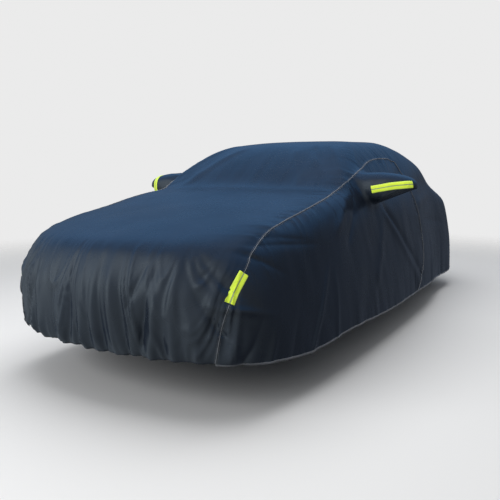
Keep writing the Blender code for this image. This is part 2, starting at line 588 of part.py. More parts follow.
def main():
    for item in list(bpy.data.objects):
        bpy.data.objects.remove(item, do_unlink=True)
    navy = colour_of("navy_cloth", (0.016, 0.027, 0.045), 0.42)
    grey = colour_of("grey_thread", (0.12, 0.12, 0.13), 0.60)
    neon = colour_of("neon_strip", (0.52, 0.85, 0.04), 0.35)

    front = front_rows()
    rear = rear_rows(front[-1])
    left, right = side_grid(1), side_grid(-1)
    top_panel = sheet("top_panel", [front, rear], navy)
    binding("hem_binding", *whole_hem(left, right, rear), grey)
    corner = walk(SEAM_RISE, np.linspace(*STRIP_SPAN, STRIP_ROWS + 1))
    mirror_strips = LEFT_MIRROR_STRIP, RIGHT_MIRROR_STRIP
    sides = zip((1, -1), ("left", "right"), (left, right), mirror_strips, MIRROR_LIFTS)
    for side, word, grid, mirror_strip, lift in sides:
        side_panel = sheet(f"side_panel_{word}", [grid], navy, hole=(POCKET_COLUMNS, POCKET_ROWS))
        mirror_pocket = pocket(f"mirror_pocket_{word}", side, grid, navy)

        rise, top, fall = arch(side)
        over = np.concatenate([rise[PIPING_ABOVE], top[1:], fall[1:]])
        piping(f"seam_piping_{word}_low", rise[PIPING_BELOW], TRIM_BELOW, grey)
        piping(f"seam_piping_{word}_top", over, TRIM_ABOVE, grey)
        strip(f"front_strip_{word}", mirrored(corner, side), [top_panel, side_panel], FRONT_LIFT, neon)
        mirror_strip = walk(mirror_strip, even(STRIP_ROWS))
        strip(f"mirror_strip_{word}", mirror_strip, [mirror_pocket], lift, neon)


main()
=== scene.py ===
"""Looks of a fitted outdoor cover: satin navy cloth, mirror pockets, grey seams and neon reflective strips.

Sizes are in metres. The tables are in the ground frame, like the surface functions: +X is the cover's
left side, its front end points to -Y, +Z is up, and the origin is on the ground, 1.03 m behind the
front end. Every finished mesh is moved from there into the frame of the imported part.
"""

import bmesh
import bpy
import numpy as np
from bpy.props import FloatProperty, FloatVectorProperty, PointerProperty
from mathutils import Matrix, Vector
from mathutils.kdtree import KDTree


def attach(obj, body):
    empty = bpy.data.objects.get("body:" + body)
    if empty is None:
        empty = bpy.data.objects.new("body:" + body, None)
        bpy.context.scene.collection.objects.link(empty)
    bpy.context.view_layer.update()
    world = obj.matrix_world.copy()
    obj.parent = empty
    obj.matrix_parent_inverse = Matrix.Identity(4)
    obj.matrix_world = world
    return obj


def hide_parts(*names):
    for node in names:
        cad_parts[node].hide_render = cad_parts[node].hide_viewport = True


bl_info = {
    "name": "Fitted Outdoor Cover",
    "version": (1, 0, 0),
    "blender": (4, 5, 0),
    "location": "3D View > Sidebar > Cover",
    "description": "Cloth panels, mirror pockets, seams and reflective strips of a fitted cover",
    "category": "Object",
}

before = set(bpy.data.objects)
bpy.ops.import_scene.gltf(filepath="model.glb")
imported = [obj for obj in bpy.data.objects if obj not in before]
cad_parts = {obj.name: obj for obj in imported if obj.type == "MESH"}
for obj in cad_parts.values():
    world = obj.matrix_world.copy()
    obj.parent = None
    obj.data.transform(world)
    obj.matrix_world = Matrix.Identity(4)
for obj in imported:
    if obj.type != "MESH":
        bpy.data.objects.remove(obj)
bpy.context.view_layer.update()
GROUND_Z = -1.460                              # the ground in the part's frame
TO_PART = Vector((0.0, -1.60, GROUND_Z))       # from the ground frame to the part's frame

# ---------------------------------------------------------------- the surface of the cover
CORE_FRONT, CORE_REAR, CORE_HEIGHT = 0.0, 3.0, 0.45   # line inside the cover that rays start from
WALL_SOFTNESS, EDGE_SOFTNESS = 0.100, 0.057           # how round the upright and the upper edges hang
CABIN_SOFTNESS, GLASS_SOFTNESS = 0.052, 0.044
POCKET_SOFTNESS = 0.026
NOSE_BOW, TAIL_BOW, BOW_AT = 0.137, 0.150, 0.75       # how far the ends draw in, BOW_AT from the middle
ROOF_CROWN, ROOF_CROWN_AT = 0.022, 0.60
DECK_CROWN, DECK_CROWN_AT = 0.017, 0.85
SCREEN_BOW = 0.030
SCREEN_MIDDLE, SCREEN_FADE = 1.8, 0.6
GLASS_OUT, GLASS_HEIGHT, GLASS_SLOPE = 0.626, 1.370, 1.487
POCKET_CENTRE = (0.800, 0.815, 1.085)                 # one on each side, mirrored
POCKET_REACH = (0.350, 0.150, 0.106)
POCKET_SQUARENESS = 2.6
POCKET_CORE = (0.720, 0.815, 1.085)                   # where the rays to a pocket's cloth start from
POCKET_CROWD = 0.28                                   # spacing of the rays in the middle against its edge
ROW_BEND = 2.2                                        # how late a row bends away from the middle line
RAY_REACH, RAY_HALVINGS = 3.0, 36                     # length of a ray, and how often it is halved
SLOPE_STEP, NEAREST_STEPS = 0.002, 8                  # step for the slopes, and rounds to the nearest point

# height of the roof line along the cover: y, z
ROOF_LINE = ((-0.20, 0.80), (0.30, 0.98), (0.60, 1.22), (0.90, 1.385), (1.20, 1.45), (1.50, 1.462),
             (1.90, 1.478), (2.30, 1.43), (2.70, 1.32), (3.10, 1.12), (3.50, 0.96), (3.90, 0.80))
# height of the low decks in front and behind along the cover: y, z
DECK_LINE = ((-1.20, 0.76), (-0.90, 0.81), (-0.60, 0.895), (-0.20, 0.97), (0.30, 1.06), (1.00, 0.96),
             (2.50, 0.97), (3.20, 0.985), (3.70, 0.975), (4.00, 0.95))
# half width along the cover: y, x
WIDTH_LINE = ((-1.20, 0.80), (-0.60, 0.86), (0.00, 0.915), (1.00, 0.925), (2.00, 0.90), (2.90, 0.815),
              (3.60, 0.825), (4.00, 0.80))
# how far the sides lean in: z, inset
SIDE_LINE = ((0.20, -0.02), (0.45, -0.005), (0.70, 0.03), (0.90, 0.063), (1.10, 0.113))
# profile of the nose and of the tail: z, y
NOSE_LINE = ((0.20, -0.98), (0.40, -1.02), (0.60, -1.03), (0.80, -0.975), (1.00, -0.955))
TAIL_LINE = ((0.20, 3.69), (0.50, 3.76), (0.80, 3.77), (1.00, 3.745), (1.20, 3.65))
# height of the hem above the ground: y, z
HEM_LINE = ((-1.00, 0.28), (-0.67, 0.27), (-0.37, 0.24), (0.13, 0.255), (0.98, 0.228), (1.64, 0.228),
            (2.40, 0.205), (3.30, 0.180), (3.70, 0.235))

# the arched seam on one side, from the front hem to the rear hem: x, y, z
SEAM_RISE = ((0.680, -0.870, 0.282), (0.710, -0.870, 0.430), (0.737, -0.847, 0.555), (0.753, -0.807, 0.636),
             (0.765, -0.742, 0.717), (0.764, -0.685, 0.784))
SEAM_TOP = ((0.764, -0.685, 0.784), (0.760, -0.563, 0.856), (0.756, -0.356, 0.911), (0.760, -0.094, 0.963),
            (0.760, 0.170, 1.016), (0.747, 0.592, 1.128), (0.721, 0.910, 1.214), (0.685, 1.153, 1.273),
            (0.668, 1.378, 1.300), (0.663, 1.555, 1.309), (0.660, 1.720, 1.305), (0.672, 1.840, 1.285))
SEAM_FALL = ((0.672, 1.840, 1.285), (0.740, 1.875, 1.190), (0.826, 1.950, 0.960), (0.870, 1.990, 0.750),
             (0.900, 1.965, 0.520), (0.925, 1.850, 0.350), (0.940, 1.640, 0.228))

# middle lines of the strips on the mirror pockets, the left one level and the right one upright: x, y, z
LEFT_MIRROR_STRIP = ((0.885, 0.672, 1.070), (0.957, 0.682, 1.083), (1.023, 0.695, 1.095),
                     (1.084, 0.720, 1.101), (1.130, 0.765, 1.104))
RIGHT_MIRROR_STRIP = ((-1.045, 0.770, 1.172), (-1.045, 0.705, 1.135), (-1.045, 0.690, 1.085),
                      (-1.045, 0.707, 1.030), (-1.045, 0.745, 1.000))
# the hem of a side panel: x, y
SIDE_HEM = ((0.680, -0.870), (0.790, -0.780), (0.850, -0.667), (0.880, -0.530), (0.905, -0.370),
            (0.943, 0.130), (0.950, 0.500), (0.948, 0.980), (0.940, 1.640))
# the middle line, up the nose and along the top to the rear corners of the arches: y, z
NOSE_RISE = ((-0.990, 0.275), (-1.020, 0.420), (-1.030, 0.580), (-0.985, 0.740), (-0.940, 0.790))
TOP_RUN = ((-0.940, 0.790), (-0.850, 0.830), (-0.600, 0.900), (-0.200, 0.975), (0.300, 1.070),
           (0.600, 1.215), (0.900, 1.375), (1.200, 1.450), (1.600, 1.465), (1.960, 1.478))
# sections of the rear: hem y, then y and z where the section crosses the middle line
REAR_SECTIONS = ((1.64, 1.96, 1.478), (1.95, 2.25, 1.440), (2.25, 2.60, 1.350), (2.50, 2.95, 1.190),
                 (2.75, 3.25, 1.030), (2.95, 3.50, 0.965), (3.10, 3.70, 0.880), (3.22, 3.77, 0.700),
                 (3.34, 3.76, 0.470), (3.46, 3.70, 0.245))

STRIP_SPAN = (0.525, 0.800)           # part of the seam's rise that a front strip covers
STRIP_GAP = 0.012                     # and the piping stops this further part of the rise before it
STRIP_WIDTH, STRIP_GROOVE = 0.050, 0.0032      # the groove reaches this far each way from the middle
STRIP_STITCHES = ((0.0, 0.0016), (-0.0215, 0.0007), (0.0215, 0.0007))    # place across, half width
GROOVE_COLOUR, STITCH_COLOUR = (0.26, 0.32, 0.16), (0.50, 0.56, 0.38)    # on the strips
STRIP_LIFT, STRIP_EDGE = 0.0022, 0.55          # height above the cloth, and the share lost at the edges
STRIP_ROWS, STRIP_COLUMNS = 61, 17
STITCH_ASIDE = 0.0065                 # from the seam to a row of stitches
STITCH_RADIUS, STITCH_LIFT = 0.0006, 0.0003    # of the thread, and how far its middle lies off the cloth
STITCH_DIVE = (-1.3, 0.8, 0.8, -1.3)  # how a stitch goes in and out of the cloth, in radii of its thread
PIPING_SEAT, PIPING_CORNERS = 0.8, 8  # height of its middle in radii, and corners of its section
HEM_TURN = 0.0022                     # the turned front hem lies this far behind the cloth
HEM_SHARE = 0.016                     # level of the side panel that gives the hem its way up
HEM_TAPE, HEM_TAPE_DROP = (0.0017, 0.0055), 0.003    # half its thickness and height, and how far it hangs
HEM_TAPE_CORNERS, HEM_TAPE_SQUARENESS = 12, 0.6
SEAM_POINTS = (120, 560, 240)         # points along the three runs of the seam, to measure from
PIPING_POINTS = (60, 20, 420, 180)    # along the piping below and above the strip, the top and the fall
HEM_POINTS = 281
SIDES = ((1, "left"), (-1, "right"))

# the camera of the photograph: place in the ground frame, turn in degrees, focal length in pixels of 500
CAMERA_PLACE, CAMERA_TURN, CAMERA_REACH = (2.177, -3.000, 1.143), 31.475, 563.1
CAMERA_SHIFT = (-0.002, -0.1424)
FLOOR_RADIUS, FLOOR_FADE = 14.0, (3.0, 8.0)    # the floor fades away between these distances
# the blue sky that the cloth mirrors: the heights of a ray between which it comes up, the same along Y, and
# the share of it that is left in front
SKY_HEIGHT, SKY_START, SKY_LEAST = (0.03, 0.58), (-0.66, -0.12), 0.08
# soft lights that the cloth mirrors, two in front and one at the left: the way to the middle of each,
# the cosines of the angles at which it starts and is full, and its strength
SOFT_LIGHTS = (((-0.20, -0.975, 0.10), -0.60, 0.95, 0.90), ((-0.52, -0.80, 0.30), 0.76, 0.98, 2.10),
               ((0.98, 0.05, 0.10), 0.80, 1.00, 0.40))

# A fold runs straight from one point to another, as seen from the front or the rear (x, z), the side (y, z)
# or the top (x, y). Columns, in millimetres: from, to, half width, height at its start and at its end.
# Troughs are negative.
FRONT_FOLDS = (
    (-600, 260, -605, 460, 22, -14, -4), (-620, 300, -450, 620, 28, -20, -4),
    (-520, 260, -470, 500, 30, 14, 4), (-400, 260, -370, 560, 34, 13, 3),
    (-315, 260, -265, 610, 25, -19, -4), (-215, 260, -180, 560, 26, 13, 4),
    (-105, 260, -122, 620, 27, -20, -5), (-50, 260, -36, 500, 20, 10, 3),
    (0, 260, 10, 570, 20, -13, -3), (50, 260, 45, 600, 20, 10, 3), (97, 260, 73, 670, 23, -18, -4),
    (172, 260, 150, 600, 24, 15, 4), (238, 260, 205, 640, 22, -16, -4),
    (290, 600, 325, 690, 14, -8, -4), (300, 270, 378, 640, 25, -28, -6),
    (372, 260, 420, 600, 26, 16, 4), (440, 260, 455, 550, 22, -10, -2), (492, 260, 500, 600, 20, 9, 3),
    (545, 260, 535, 520, 20, -10, -2), (620, 260, 570, 560, 26, 9, 2),
    (700, 450, 517, 760, 20, -15, -4), (620, 690, 548, 770, 15, -8, -4),
    (715, 650, 578, 780, 16, -10, -4), (-690, 500, -520, 750, 20, -11, -3))
LEFT_FOLDS = (
    (-280, 270, -105, 560, 20, 10, 5), (-15, 290, 3, 520, 22, 6, 3), (-560, 855, -320, 825, 18, -8, -3),
    (-620, 820, -240, 790, 20, -9, -3), (-690, 765, -560, 700, 18, -9, -3),
    (-840, 540, -700, 505, 18, 8, 3), (-790, 270, -730, 400, 20, -12, -3),
    (-840, 290, -820, 450, 18, 9, 3), (-660, 260, -600, 420, 26, 9, 2),
    (-480, 250, -400, 470, 30, -8, -2), (180, 880, 400, 1020, 35, 9, 5),
    (300, 800, 560, 1060, 34, -8, -5), (700, 500, 870, 720, 45, 7, 6),
    (1120, 890, 1800, 360, 30, -14, -8), (1080, 840, 1640, 360, 40, 10, 6),
    (1420, 1060, 1840, 1200, 30, -12, -6), (2320, 775, 3050, 705, 28, -12, -6),
    (2120, 930, 2700, 980, 35, 10, 4), (2300, 250, 2420, 600, 40, 10, 3),
    (2900, 240, 2960, 550, 40, -10, -3))
RIGHT_FOLDS = (
    (-420, 260, -220, 600, 26, 9, 4), (-600, 835, -300, 800, 20, -9, -3),
    (-770, 280, -720, 420, 22, -12, -3), (-660, 270, -610, 400, 26, 9, 2),
    (200, 260, 270, 560, 34, 8, 3), (280, 840, 520, 1040, 36, 9, 5),
    (1160, 880, 1720, 400, 34, -13, -7), (1400, 1050, 1830, 1180, 30, -11, -6),
    (2200, 740, 2920, 690, 30, -11, -5), (2520, 240, 2600, 580, 42, 10, 3))
TOP_FOLDS = (
    (250, 800, 440, 460, 40, 9, 5.5), (440, 460, 640, 50, 38, 5.5, 3), (330, 980, 470, 690, 34, 8, 5.8),
    (470, 690, 690, 430, 32, 5.8, 5), (450, 960, 710, 580, 30, 10, 6), (540, 1100, 700, 860, 30, 8, 5),
    (390, 850, 560, 560, 26, -8, -6), (-300, 860, -620, 300, 45, 8, 4),
    (-450, 1000, -690, 620, 36, 9, 4), (200, 3020, 640, 3300, 45, 9, 4),
    (-120, 2900, -600, 3240, 45, -9, -4))
REAR_FOLDS = (
    (-660, 230, -630, 620, 34, -15, -3.75), (-520, 230, -510, 520, 36, 13, 3.25),
    (-380, 230, -410, 660, 32, -17, -4.25), (-210, 230, -190, 500, 38, 13, 3.25),
    (-60, 230, -80, 600, 32, -16, -4), (100, 230, 130, 540, 36, 13, 3.25),
    (240, 230, 250, 660, 32, -18, -4.5), (410, 230, 390, 500, 36, 12, 3),
    (560, 230, 580, 600, 32, -15, -3.75))
FOLD_FADE = 0.09                        # a fold dies away over this length past its ends
RIDGE_POWER, TROUGH_POWER = 2.0, 1.3    # ridges are round, troughs are sharp
FRONT_DEPTH = 0.60                      # the folds of the front skirt are deeper by this share
HEM_CALM = 0.045                        # and are half as deep within this height of its hem
FACING_LOW, FACING_HIGH = 0.25, 0.75    # how square a face must be to a view to take its folds
WAVE_TABLE = 512                        # length of the table of random heights that wrinkles are read from

# wrinkles across a seam: height, spacing, how far they reach from it, shift on the left side, seed
PUCKERS = ((0.0026, 0.024, 0.040, 0, 11), (0.0050, 0.055, 0.100, 40, 12))
PUCKER_LEAN = 0.35                      # how far the wrinkles lean along the seam
SEAM_CALM, SEAM_CALM_REACH = 0.85, 0.014    # the seam itself takes this much less of them
SEAM_LIP, SEAM_LIP_REACH = 0.0015, 0.010    # height of the lip along the seam, and how far it reaches
# tucks of the drawn hems: height, spacing, share of the sway, level above the hem, reach, power of the
# fade, seed
TUCKS = ((0.0075, 0.030, 1, 0.0, 0.090, 1, 22), (0.0120, 0.058, 2, 0.0, 0.300, 1, 23),
         (0.0085, 0.046, 3, 0.26, 0.180, 2, 24))
TUCK_SWAY, TUCK_SWAY_SPACING = 0.30, 0.21   # how far the tucks swing sideways, and how often
HEM_PULL, HEM_PULL_REACH = 0.014, 0.022     # how far the elastic pulls a drawn hem in, up to which height
TUCK_CALM, TUCK_CALM_REACH = 0.6, 0.030     # the hem itself takes this much less of the tucks
FLANK_RIPPLE, FLANK_RIPPLE_SPACING, FLANK_RIPPLE_REACH = 0.0026, 0.047, 0.10    # along the bound side hems
# swells of slack cloth: height, spacing one way and the other, the two ways (x, y, z), seed
SIDE_SWELLS = ((0.0016, 0.075, 0.34, (0, 1, 0.25), (0, 0, 1), 31),
               (0.0036, 0.16, 0.5, (0, 1, -0.4), (0, 0, 1), 32))
END_SWELLS = ((0.0026, 0.055, 0.30, (1, 0, 0.1), (0, 0, 1), 33),)
TOP_SWELLS = ((0.0022, 0.30, 0.34, (1, 0, 0), (0, 1, 0), 34),
              (0.0011, 0.11, 0.42, (1, 0.5, 0), (-0.5, 1, 0), 35))


# ---------------------------------------------------------------- the surface
def curve(table, at):
    """A smooth curve through a table of two columns, held level past its ends."""
    knots, values = np.array(table, float).T
    steps = np.diff(knots)
    rates = np.diff(values) / steps
    slopes = np.empty_like(values)
    slopes[0], slopes[-1] = rates[0], rates[-1]
    slopes[1:-1] = (rates[:-1] * steps[1:] + rates[1:] * steps[:-1]) / (steps[:-1] + steps[1:])
    at = np.clip(at, knots[0], knots[-1])
    i = np.clip(np.searchsorted(knots, at, side="right") - 1, 0, len(steps) - 1)
    t = (at - knots[i]) / steps[i]
    return ((1 + 2 * t) * (1 - t) ** 2 * values[i] + t * (1 - t) ** 2 * steps[i] * slopes[i]
            + t * t * (3 - 2 * t) * values[i + 1] + t * t * (t - 1) * steps[i] * slopes[i + 1])


def soft_max(a, b, softness):
    top = np.maximum(a, b)
    return top + softness * np.log(np.exp((a - top) / softness) + np.exp((b - top) / softness))


def ramp(value, low, high):
    t = np.clip((value - low) / (high - low), 0.0, 1.0)
    return t * t * (3 - 2 * t)


def pocket_field(points):
    """Distance from the rounded box that fills each mirror pocket, below zero inside it."""
    place = np.stack([np.abs(points[..., 0]), points[..., 1], points[..., 2]], -1)
    offset = np.abs(place - POCKET_CENTRE) / POCKET_REACH
    near = (offset ** POCKET_SQUARENESS).sum(-1) ** (1 / POCKET_SQUARENESS)
    slopes = (offset / np.maximum(near, 1e-6)[..., None]) ** (POCKET_SQUARENESS - 1) / POCKET_REACH
    return (near - 1) / np.linalg.norm(slopes, axis=-1)


def cover_field(points):
    """Below zero inside the cover: soft corners between its ends, its sides and its top."""
    x, y, z = np.abs(points[..., 0]), points[..., 1], points[..., 2]
    front = curve(NOSE_LINE, z) + NOSE_BOW * (x / BOW_AT) ** 2 - y
    rear = y - curve(TAIL_LINE, z) + TAIL_BOW * (x / BOW_AT) ** 2
    side = x - curve(WIDTH_LINE, y) + curve(SIDE_LINE, z)
    wall = soft_max(soft_max(front, rear, WALL_SOFTNESS), side, WALL_SOFTNESS)
    swing = np.clip((y - SCREEN_MIDDLE) / SCREEN_FADE, -1, 1)
    roof = curve(ROOF_LINE, y + SCREEN_BOW * x * x * swing) - ROOF_CROWN * (x / ROOF_CROWN_AT) ** 2
    glass = GLASS_HEIGHT + (GLASS_OUT - x) * GLASS_SLOPE
    cabin = -soft_max(-roof, -glass, GLASS_SOFTNESS)
    deck = curve(DECK_LINE, y) - DECK_CROWN * (x / DECK_CROWN_AT) ** 2
    top = z - soft_max(cabin, deck, CABIN_SOFTNESS)
    body = soft_max(wall, top, EDGE_SOFTNESS)
    return -soft_max(-body, -pocket_field(points), POCKET_SOFTNESS)


def cast(starts, directions):
    """The point of the cover on each ray that starts inside it."""
    directions = directions / np.linalg.norm(directions, axis=-1, keepdims=True)
    near = np.zeros(starts.shape[:-1])
    far = near + RAY_REACH
    for _ in range(RAY_HALVINGS):
        middle = (near + far) / 2
        outside = cover_field(starts + directions * middle[..., None]) > 0
        far = np.where(outside, middle, far)
        near = np.where(outside, near, middle)
    return starts + directions * near[..., None]


def onto_cover(points):
    """Move points onto the cover, away from the core line and level below its height."""
    points = np.asarray(points, float)
    core = np.stack([np.zeros(points.shape[:-1]), np.clip(points[..., 1], CORE_FRONT, CORE_REAR),
                     np.minimum(points[..., 2], CORE_HEIGHT)], -1)
    return cast(core, points - core)


def nearest(points):
    """Move points that are near the cover straight onto it."""
    points = np.asarray(points, float)
    for _ in range(NEAREST_STEPS):
        normals = outward(points)
        aside = normals * SLOPE_STEP / 2
        steepness = (cover_field(points + aside) - cover_field(points - aside)) / SLOPE_STEP
        points = points - normals * (cover_field(points) / steepness)[..., None]
    return points


def outward(points):
    """Unit normals of the cover."""
    steps = SLOPE_STEP * np.eye(3)
    normal = np.stack([cover_field(points + step) - cover_field(points - step) for step in steps], -1)
    return normal / np.linalg.norm(normal, axis=-1, keepdims=True)


def walk(points, fractions):
    """Points of a smooth path through the given ones, at fractions of its length."""
    points = np.array(points, float)
    reach = np.concatenate([[0], np.cumsum(np.linalg.norm(np.diff(points, axis=0), axis=1))])
    fractions = np.asarray(fractions) * reach[-1]
    return np.stack([curve(np.stack([reach, column], 1), fractions) for column in points.T], 1)


def mirrored(points, side):
    return np.asarray(points) * (side, 1, 1)


# ---------------------------------------------------------------- folds, gathers and puckers
def facings(normals):
    """How far each point faces left, right, front, rear and up, from 0 to 1."""
    return [ramp(normals @ np.array(way, float), FACING_LOW, FACING_HIGH)
            for way in ((1, 0, 0), (-1, 0, 0), (0, -1, 0), (0, 1, 0), (0, 0, 1))]


def fold_height(points, normals):
    """How far the placed folds push the cloth out or in at each point."""
    x, y, z = points[..., 0], points[..., 1], points[..., 2]
    left, right, front, rear, top = facings(normals)
    total = np.zeros(points.shape[:-1])
    for folds, across, up, facing in ((FRONT_FOLDS, x, z, front), (LEFT_FOLDS, y, z, left),
                                      (RIGHT_FOLDS, y, z, right), (TOP_FOLDS, x, y, top),
                                      (REAR_FOLDS, x, z, rear)):
        for a, b, end_a, end_b, wide, first, last in np.array(folds) / 1000:
            run = end_a - a, end_b - b
            length = np.hypot(*run)
            along = ((across - a) * run[0] + (up - b) * run[1]) / length
            aside = ((across - a) * run[1] - (up - b) * run[0]) / length
            t = np.clip(along / length, 0, 1)
            past = np.maximum(np.maximum(-along, along - length), 0)
            power = RIDGE_POWER if first > 0 else TROUGH_POWER
            shape = np.exp(-np.abs(aside / wide) ** power - (past / FOLD_FADE) ** 2)
            total = total + facing * shape * (first + (last - first) * t)
    at_hem = np.exp(-((z - curve(HEM_LINE, y)) / HEM_CALM) ** 2)
    return total * (1 + FRONT_DEPTH * front) * (1 - 0.5 * front * at_hem)


def wave(at, seed):
    """An uneven wave between -1 and 1, with about one swell to each two whole steps."""
    heights = np.random.default_rng(seed).uniform(-1, 1, WAVE_TABLE)
    low = np.floor(at).astype(int)
    t = at - low
    t = t * t * (3 - 2 * t)
    return (1 - t) * heights[low % WAVE_TABLE] + t * heights[(low + 1) % WAVE_TABLE]


def crease(at, seed):
    """An uneven wave of round ridges with sharp valleys between them."""
    return 1 - 2 * np.abs(wave(at, seed)) ** 0.75


def swell(a, b, seed):
    """An uneven surface between -1 and 1."""
    heights = np.random.default_rng(seed).uniform(-1, 1, (WAVE_TABLE, WAVE_TABLE))
    i, j = np.floor(a).astype(int), np.floor(b).astype(int)
    s, t = a - i, b - j
    s, t = s * s * (3 - 2 * s), t * t * (3 - 2 * t)
    i, j, i1, j1 = (k % WAVE_TABLE for k in (i, j, i + 1, j + 1))
    return ((1 - s) * ((1 - t) * heights[i, j] + t * heights[i, j1])
            + s * ((1 - t) * heights[i1, j] + t * heights[i1, j1]))


class Seams:
    """The arched seams of both sides, to find how far from them a point is and how far along."""

    def __init__(self):
        rise, top, fall = (onto_cover(walk(run, np.linspace(0, 1, count)))
                           for run, count in zip((SEAM_RISE, SEAM_TOP, SEAM_FALL), SEAM_POINTS))
        self.line = np.concatenate([rise, top[1:], fall[1:]])
        self.reach = np.concatenate([[0], np.cumsum(np.linalg.norm(np.diff(self.line, axis=0), axis=1))])
        self.tree = KDTree(len(self.line))
        for k, point in enumerate(self.line):
            self.tree.insert(point, k)
        self.tree.balance()

    def near(self, points):
        """Distance to the seam of the point's own side, and the place along it."""
        flat = points.reshape(-1, 3)
        found = [self.tree.find((abs(x), y, z)) for x, y, z in flat.tolist()]
        away = np.array([hit[2] for hit in found]).reshape(points.shape[:-1])
        along = self.reach[[hit[1] for hit in found]].reshape(points.shape[:-1])
        return away, along


SEAMS = Seams()


def puckers(points):
    """Short wrinkles that the stitches draw across a seam, and the raised lip of the seam itself."""
    away, along = SEAMS.near(points)
    side = np.sign(points[..., 0])
    run = along + PUCKER_LEAN * away * side
    total = sum(height * crease(run / spacing + shift * (side > 0), seed) * np.exp(-away / reach)
                for height, spacing, reach, shift, seed in PUCKERS)
    calm = 1 - SEAM_CALM * np.exp(-(away / SEAM_CALM_REACH) ** 2)
    return total * calm + SEAM_LIP * np.exp(-(away / SEAM_LIP_REACH) ** 2)


def gathers(points, normals):
    """Tucks above the hem: deep on the drawn front and rear, slight on the bound sides."""
    x, y, z = points[..., 0], points[..., 1], points[..., 2]
    left, right, front, rear, _ = facings(normals)
    above = np.maximum(z - curve(HEM_LINE, y), 0)
    sway = TUCK_SWAY * above * wave(x / TUCK_SWAY_SPACING, 21)
    ends = sum(height * crease((x + share * sway) / spacing, seed)
               * np.exp(-(np.abs(above - level) / reach) ** power)
               for height, spacing, share, level, reach, power, seed in TUCKS)
    ends = ends * (1 - TUCK_CALM * np.exp(-(above / TUCK_CALM_REACH) ** 2))
    ends = ends - HEM_PULL * np.exp(-above / HEM_PULL_REACH)
    ripple = FLANK_RIPPLE * wave(y / FLANK_RIPPLE_SPACING, 25) * np.exp(-above / FLANK_RIPPLE_REACH)
    return (front + rear) * ends + (left + right) * ripple


def slack(points, normals):
    """Broad, low unevenness of cloth that is not drawn tight."""
    left, right, front, rear, top = facings(normals)
    views = (left + right, SIDE_SWELLS), (front + rear, END_SWELLS), (top, TOP_SWELLS)
    return sum(facing * height * swell(points @ one / spacing, points @ other / other_spacing, seed)
               for facing, swells in views
               for height, spacing, other_spacing, one, other, seed in swells)


def relief(points, normals):
    return (fold_height(points, normals) + puckers(points) + gathers(points, normals)
            + slack(points, normals))


def drape(base):
    """The points of the smooth cover with all their relief, and their normals."""
    normals = outward(base)
    return base + normals * relief(base, normals)[..., None], normals


# ---------------------------------------------------------------- where the panels lie
TOP_ROWS, TOP_COLUMNS = 220, 168      # of the front run of the top panel
RISE_ROWS, RISE_SHARE = 44, 0.18      # its rows below the front corners, and their share of a column
FALL_COLUMNS, REAR_ROWS = 46, 84
REAR_RAYS, DRIFT_FADE = 721, 1.5      # rays of one cut through the rear, and how soon its rows even out
SIDE_COLUMNS, SIDE_ROWS = 350, 100
POCKET_SPAN = (17 / 35, 25 / 35)      # part of the side panel's length that the pocket takes
POCKET_LEVEL = 0.66                   # the pocket reaches from this level of the side panel up to the seam
POCKET_ROWS, POCKET_COLUMNS = 68, 80
POCKET_RIM = 0.72                     # from this share of its reach outwards, the pocket's grid turns level


def two_runs(low, high, fractions):
    """A path that follows one run up to RISE_SHARE of the fractions and the other after it."""
    first = fractions <= RISE_SHARE
    return np.concatenate([walk(low, fractions[first] / RISE_SHARE),
                           walk(high, (fractions[~first] - RISE_SHARE) / (1 - RISE_SHARE))])


def front_points():
    """The top panel from the front hem up the nose and back to the arches' rear corners."""
    down = np.concatenate([np.linspace(0, RISE_SHARE, RISE_ROWS + 1),
                           np.linspace(RISE_SHARE, 1, TOP_ROWS - RISE_ROWS + 1)[1:]])
    edge = onto_cover(two_runs(SEAM_RISE, SEAM_TOP, down))
    middle = two_runs(NOSE_RISE, TOP_RUN, down)
    across = np.linspace(-1, 1, TOP_COLUMNS + 1)
    bend = (np.abs(across) ** ROW_BEND)[None, :]
    guess = np.stack([across[None, :] * edge[:, :1],
                      middle[:, :1] + (edge[:, 1:2] - middle[:, :1]) * bend,
                      middle[:, 1:] + (edge[:, 2:] - middle[:, 1:]) * bend], -1)
    return onto_cover(guess)


def rear_points(roof):
    """Rows behind the arches: cuts from side hem over the top to side hem, turning into the rear hem."""
    fall = onto_cover(walk(SEAM_FALL, np.linspace(0, 1, FALL_COLUMNS + 1)))
    first = np.concatenate([mirrored(fall, -1)[::-1], roof[1:], fall[1:]])
    reach = np.cumsum(np.concatenate([[0], np.linalg.norm(np.diff(first, axis=0), axis=1)]))
    angles = np.linspace(-np.pi / 2, np.pi / 2, REAR_RAYS)
    fractions = np.linspace(0, 1, REAR_ROWS + 1)
    rows, drift = [], None
    for s, (hem_y, y, z) in zip(fractions, walk(REAR_SECTIONS, fractions)):
        hem_z = float(curve(HEM_LINE, hem_y))
        start = np.array((0.0, hem_y, hem_z))
        rise = np.array((0.0, y - hem_y, max(z - hem_z, 0.0)))
        rise /= np.linalg.norm(rise)
        rays = np.sin(angles)[:, None] * np.array((1.0, 0, 0)) + np.cos(angles)[:, None] * rise
        cut = cast(np.broadcast_to(start, rays.shape), rays)
        row = walk(cut, reach / reach[-1])
        drift = first - row if drift is None else drift
        rows.append(onto_cover(row + drift * (1 - s) ** DRIFT_FADE))
    rows[0] = first
    return np.array(rows)


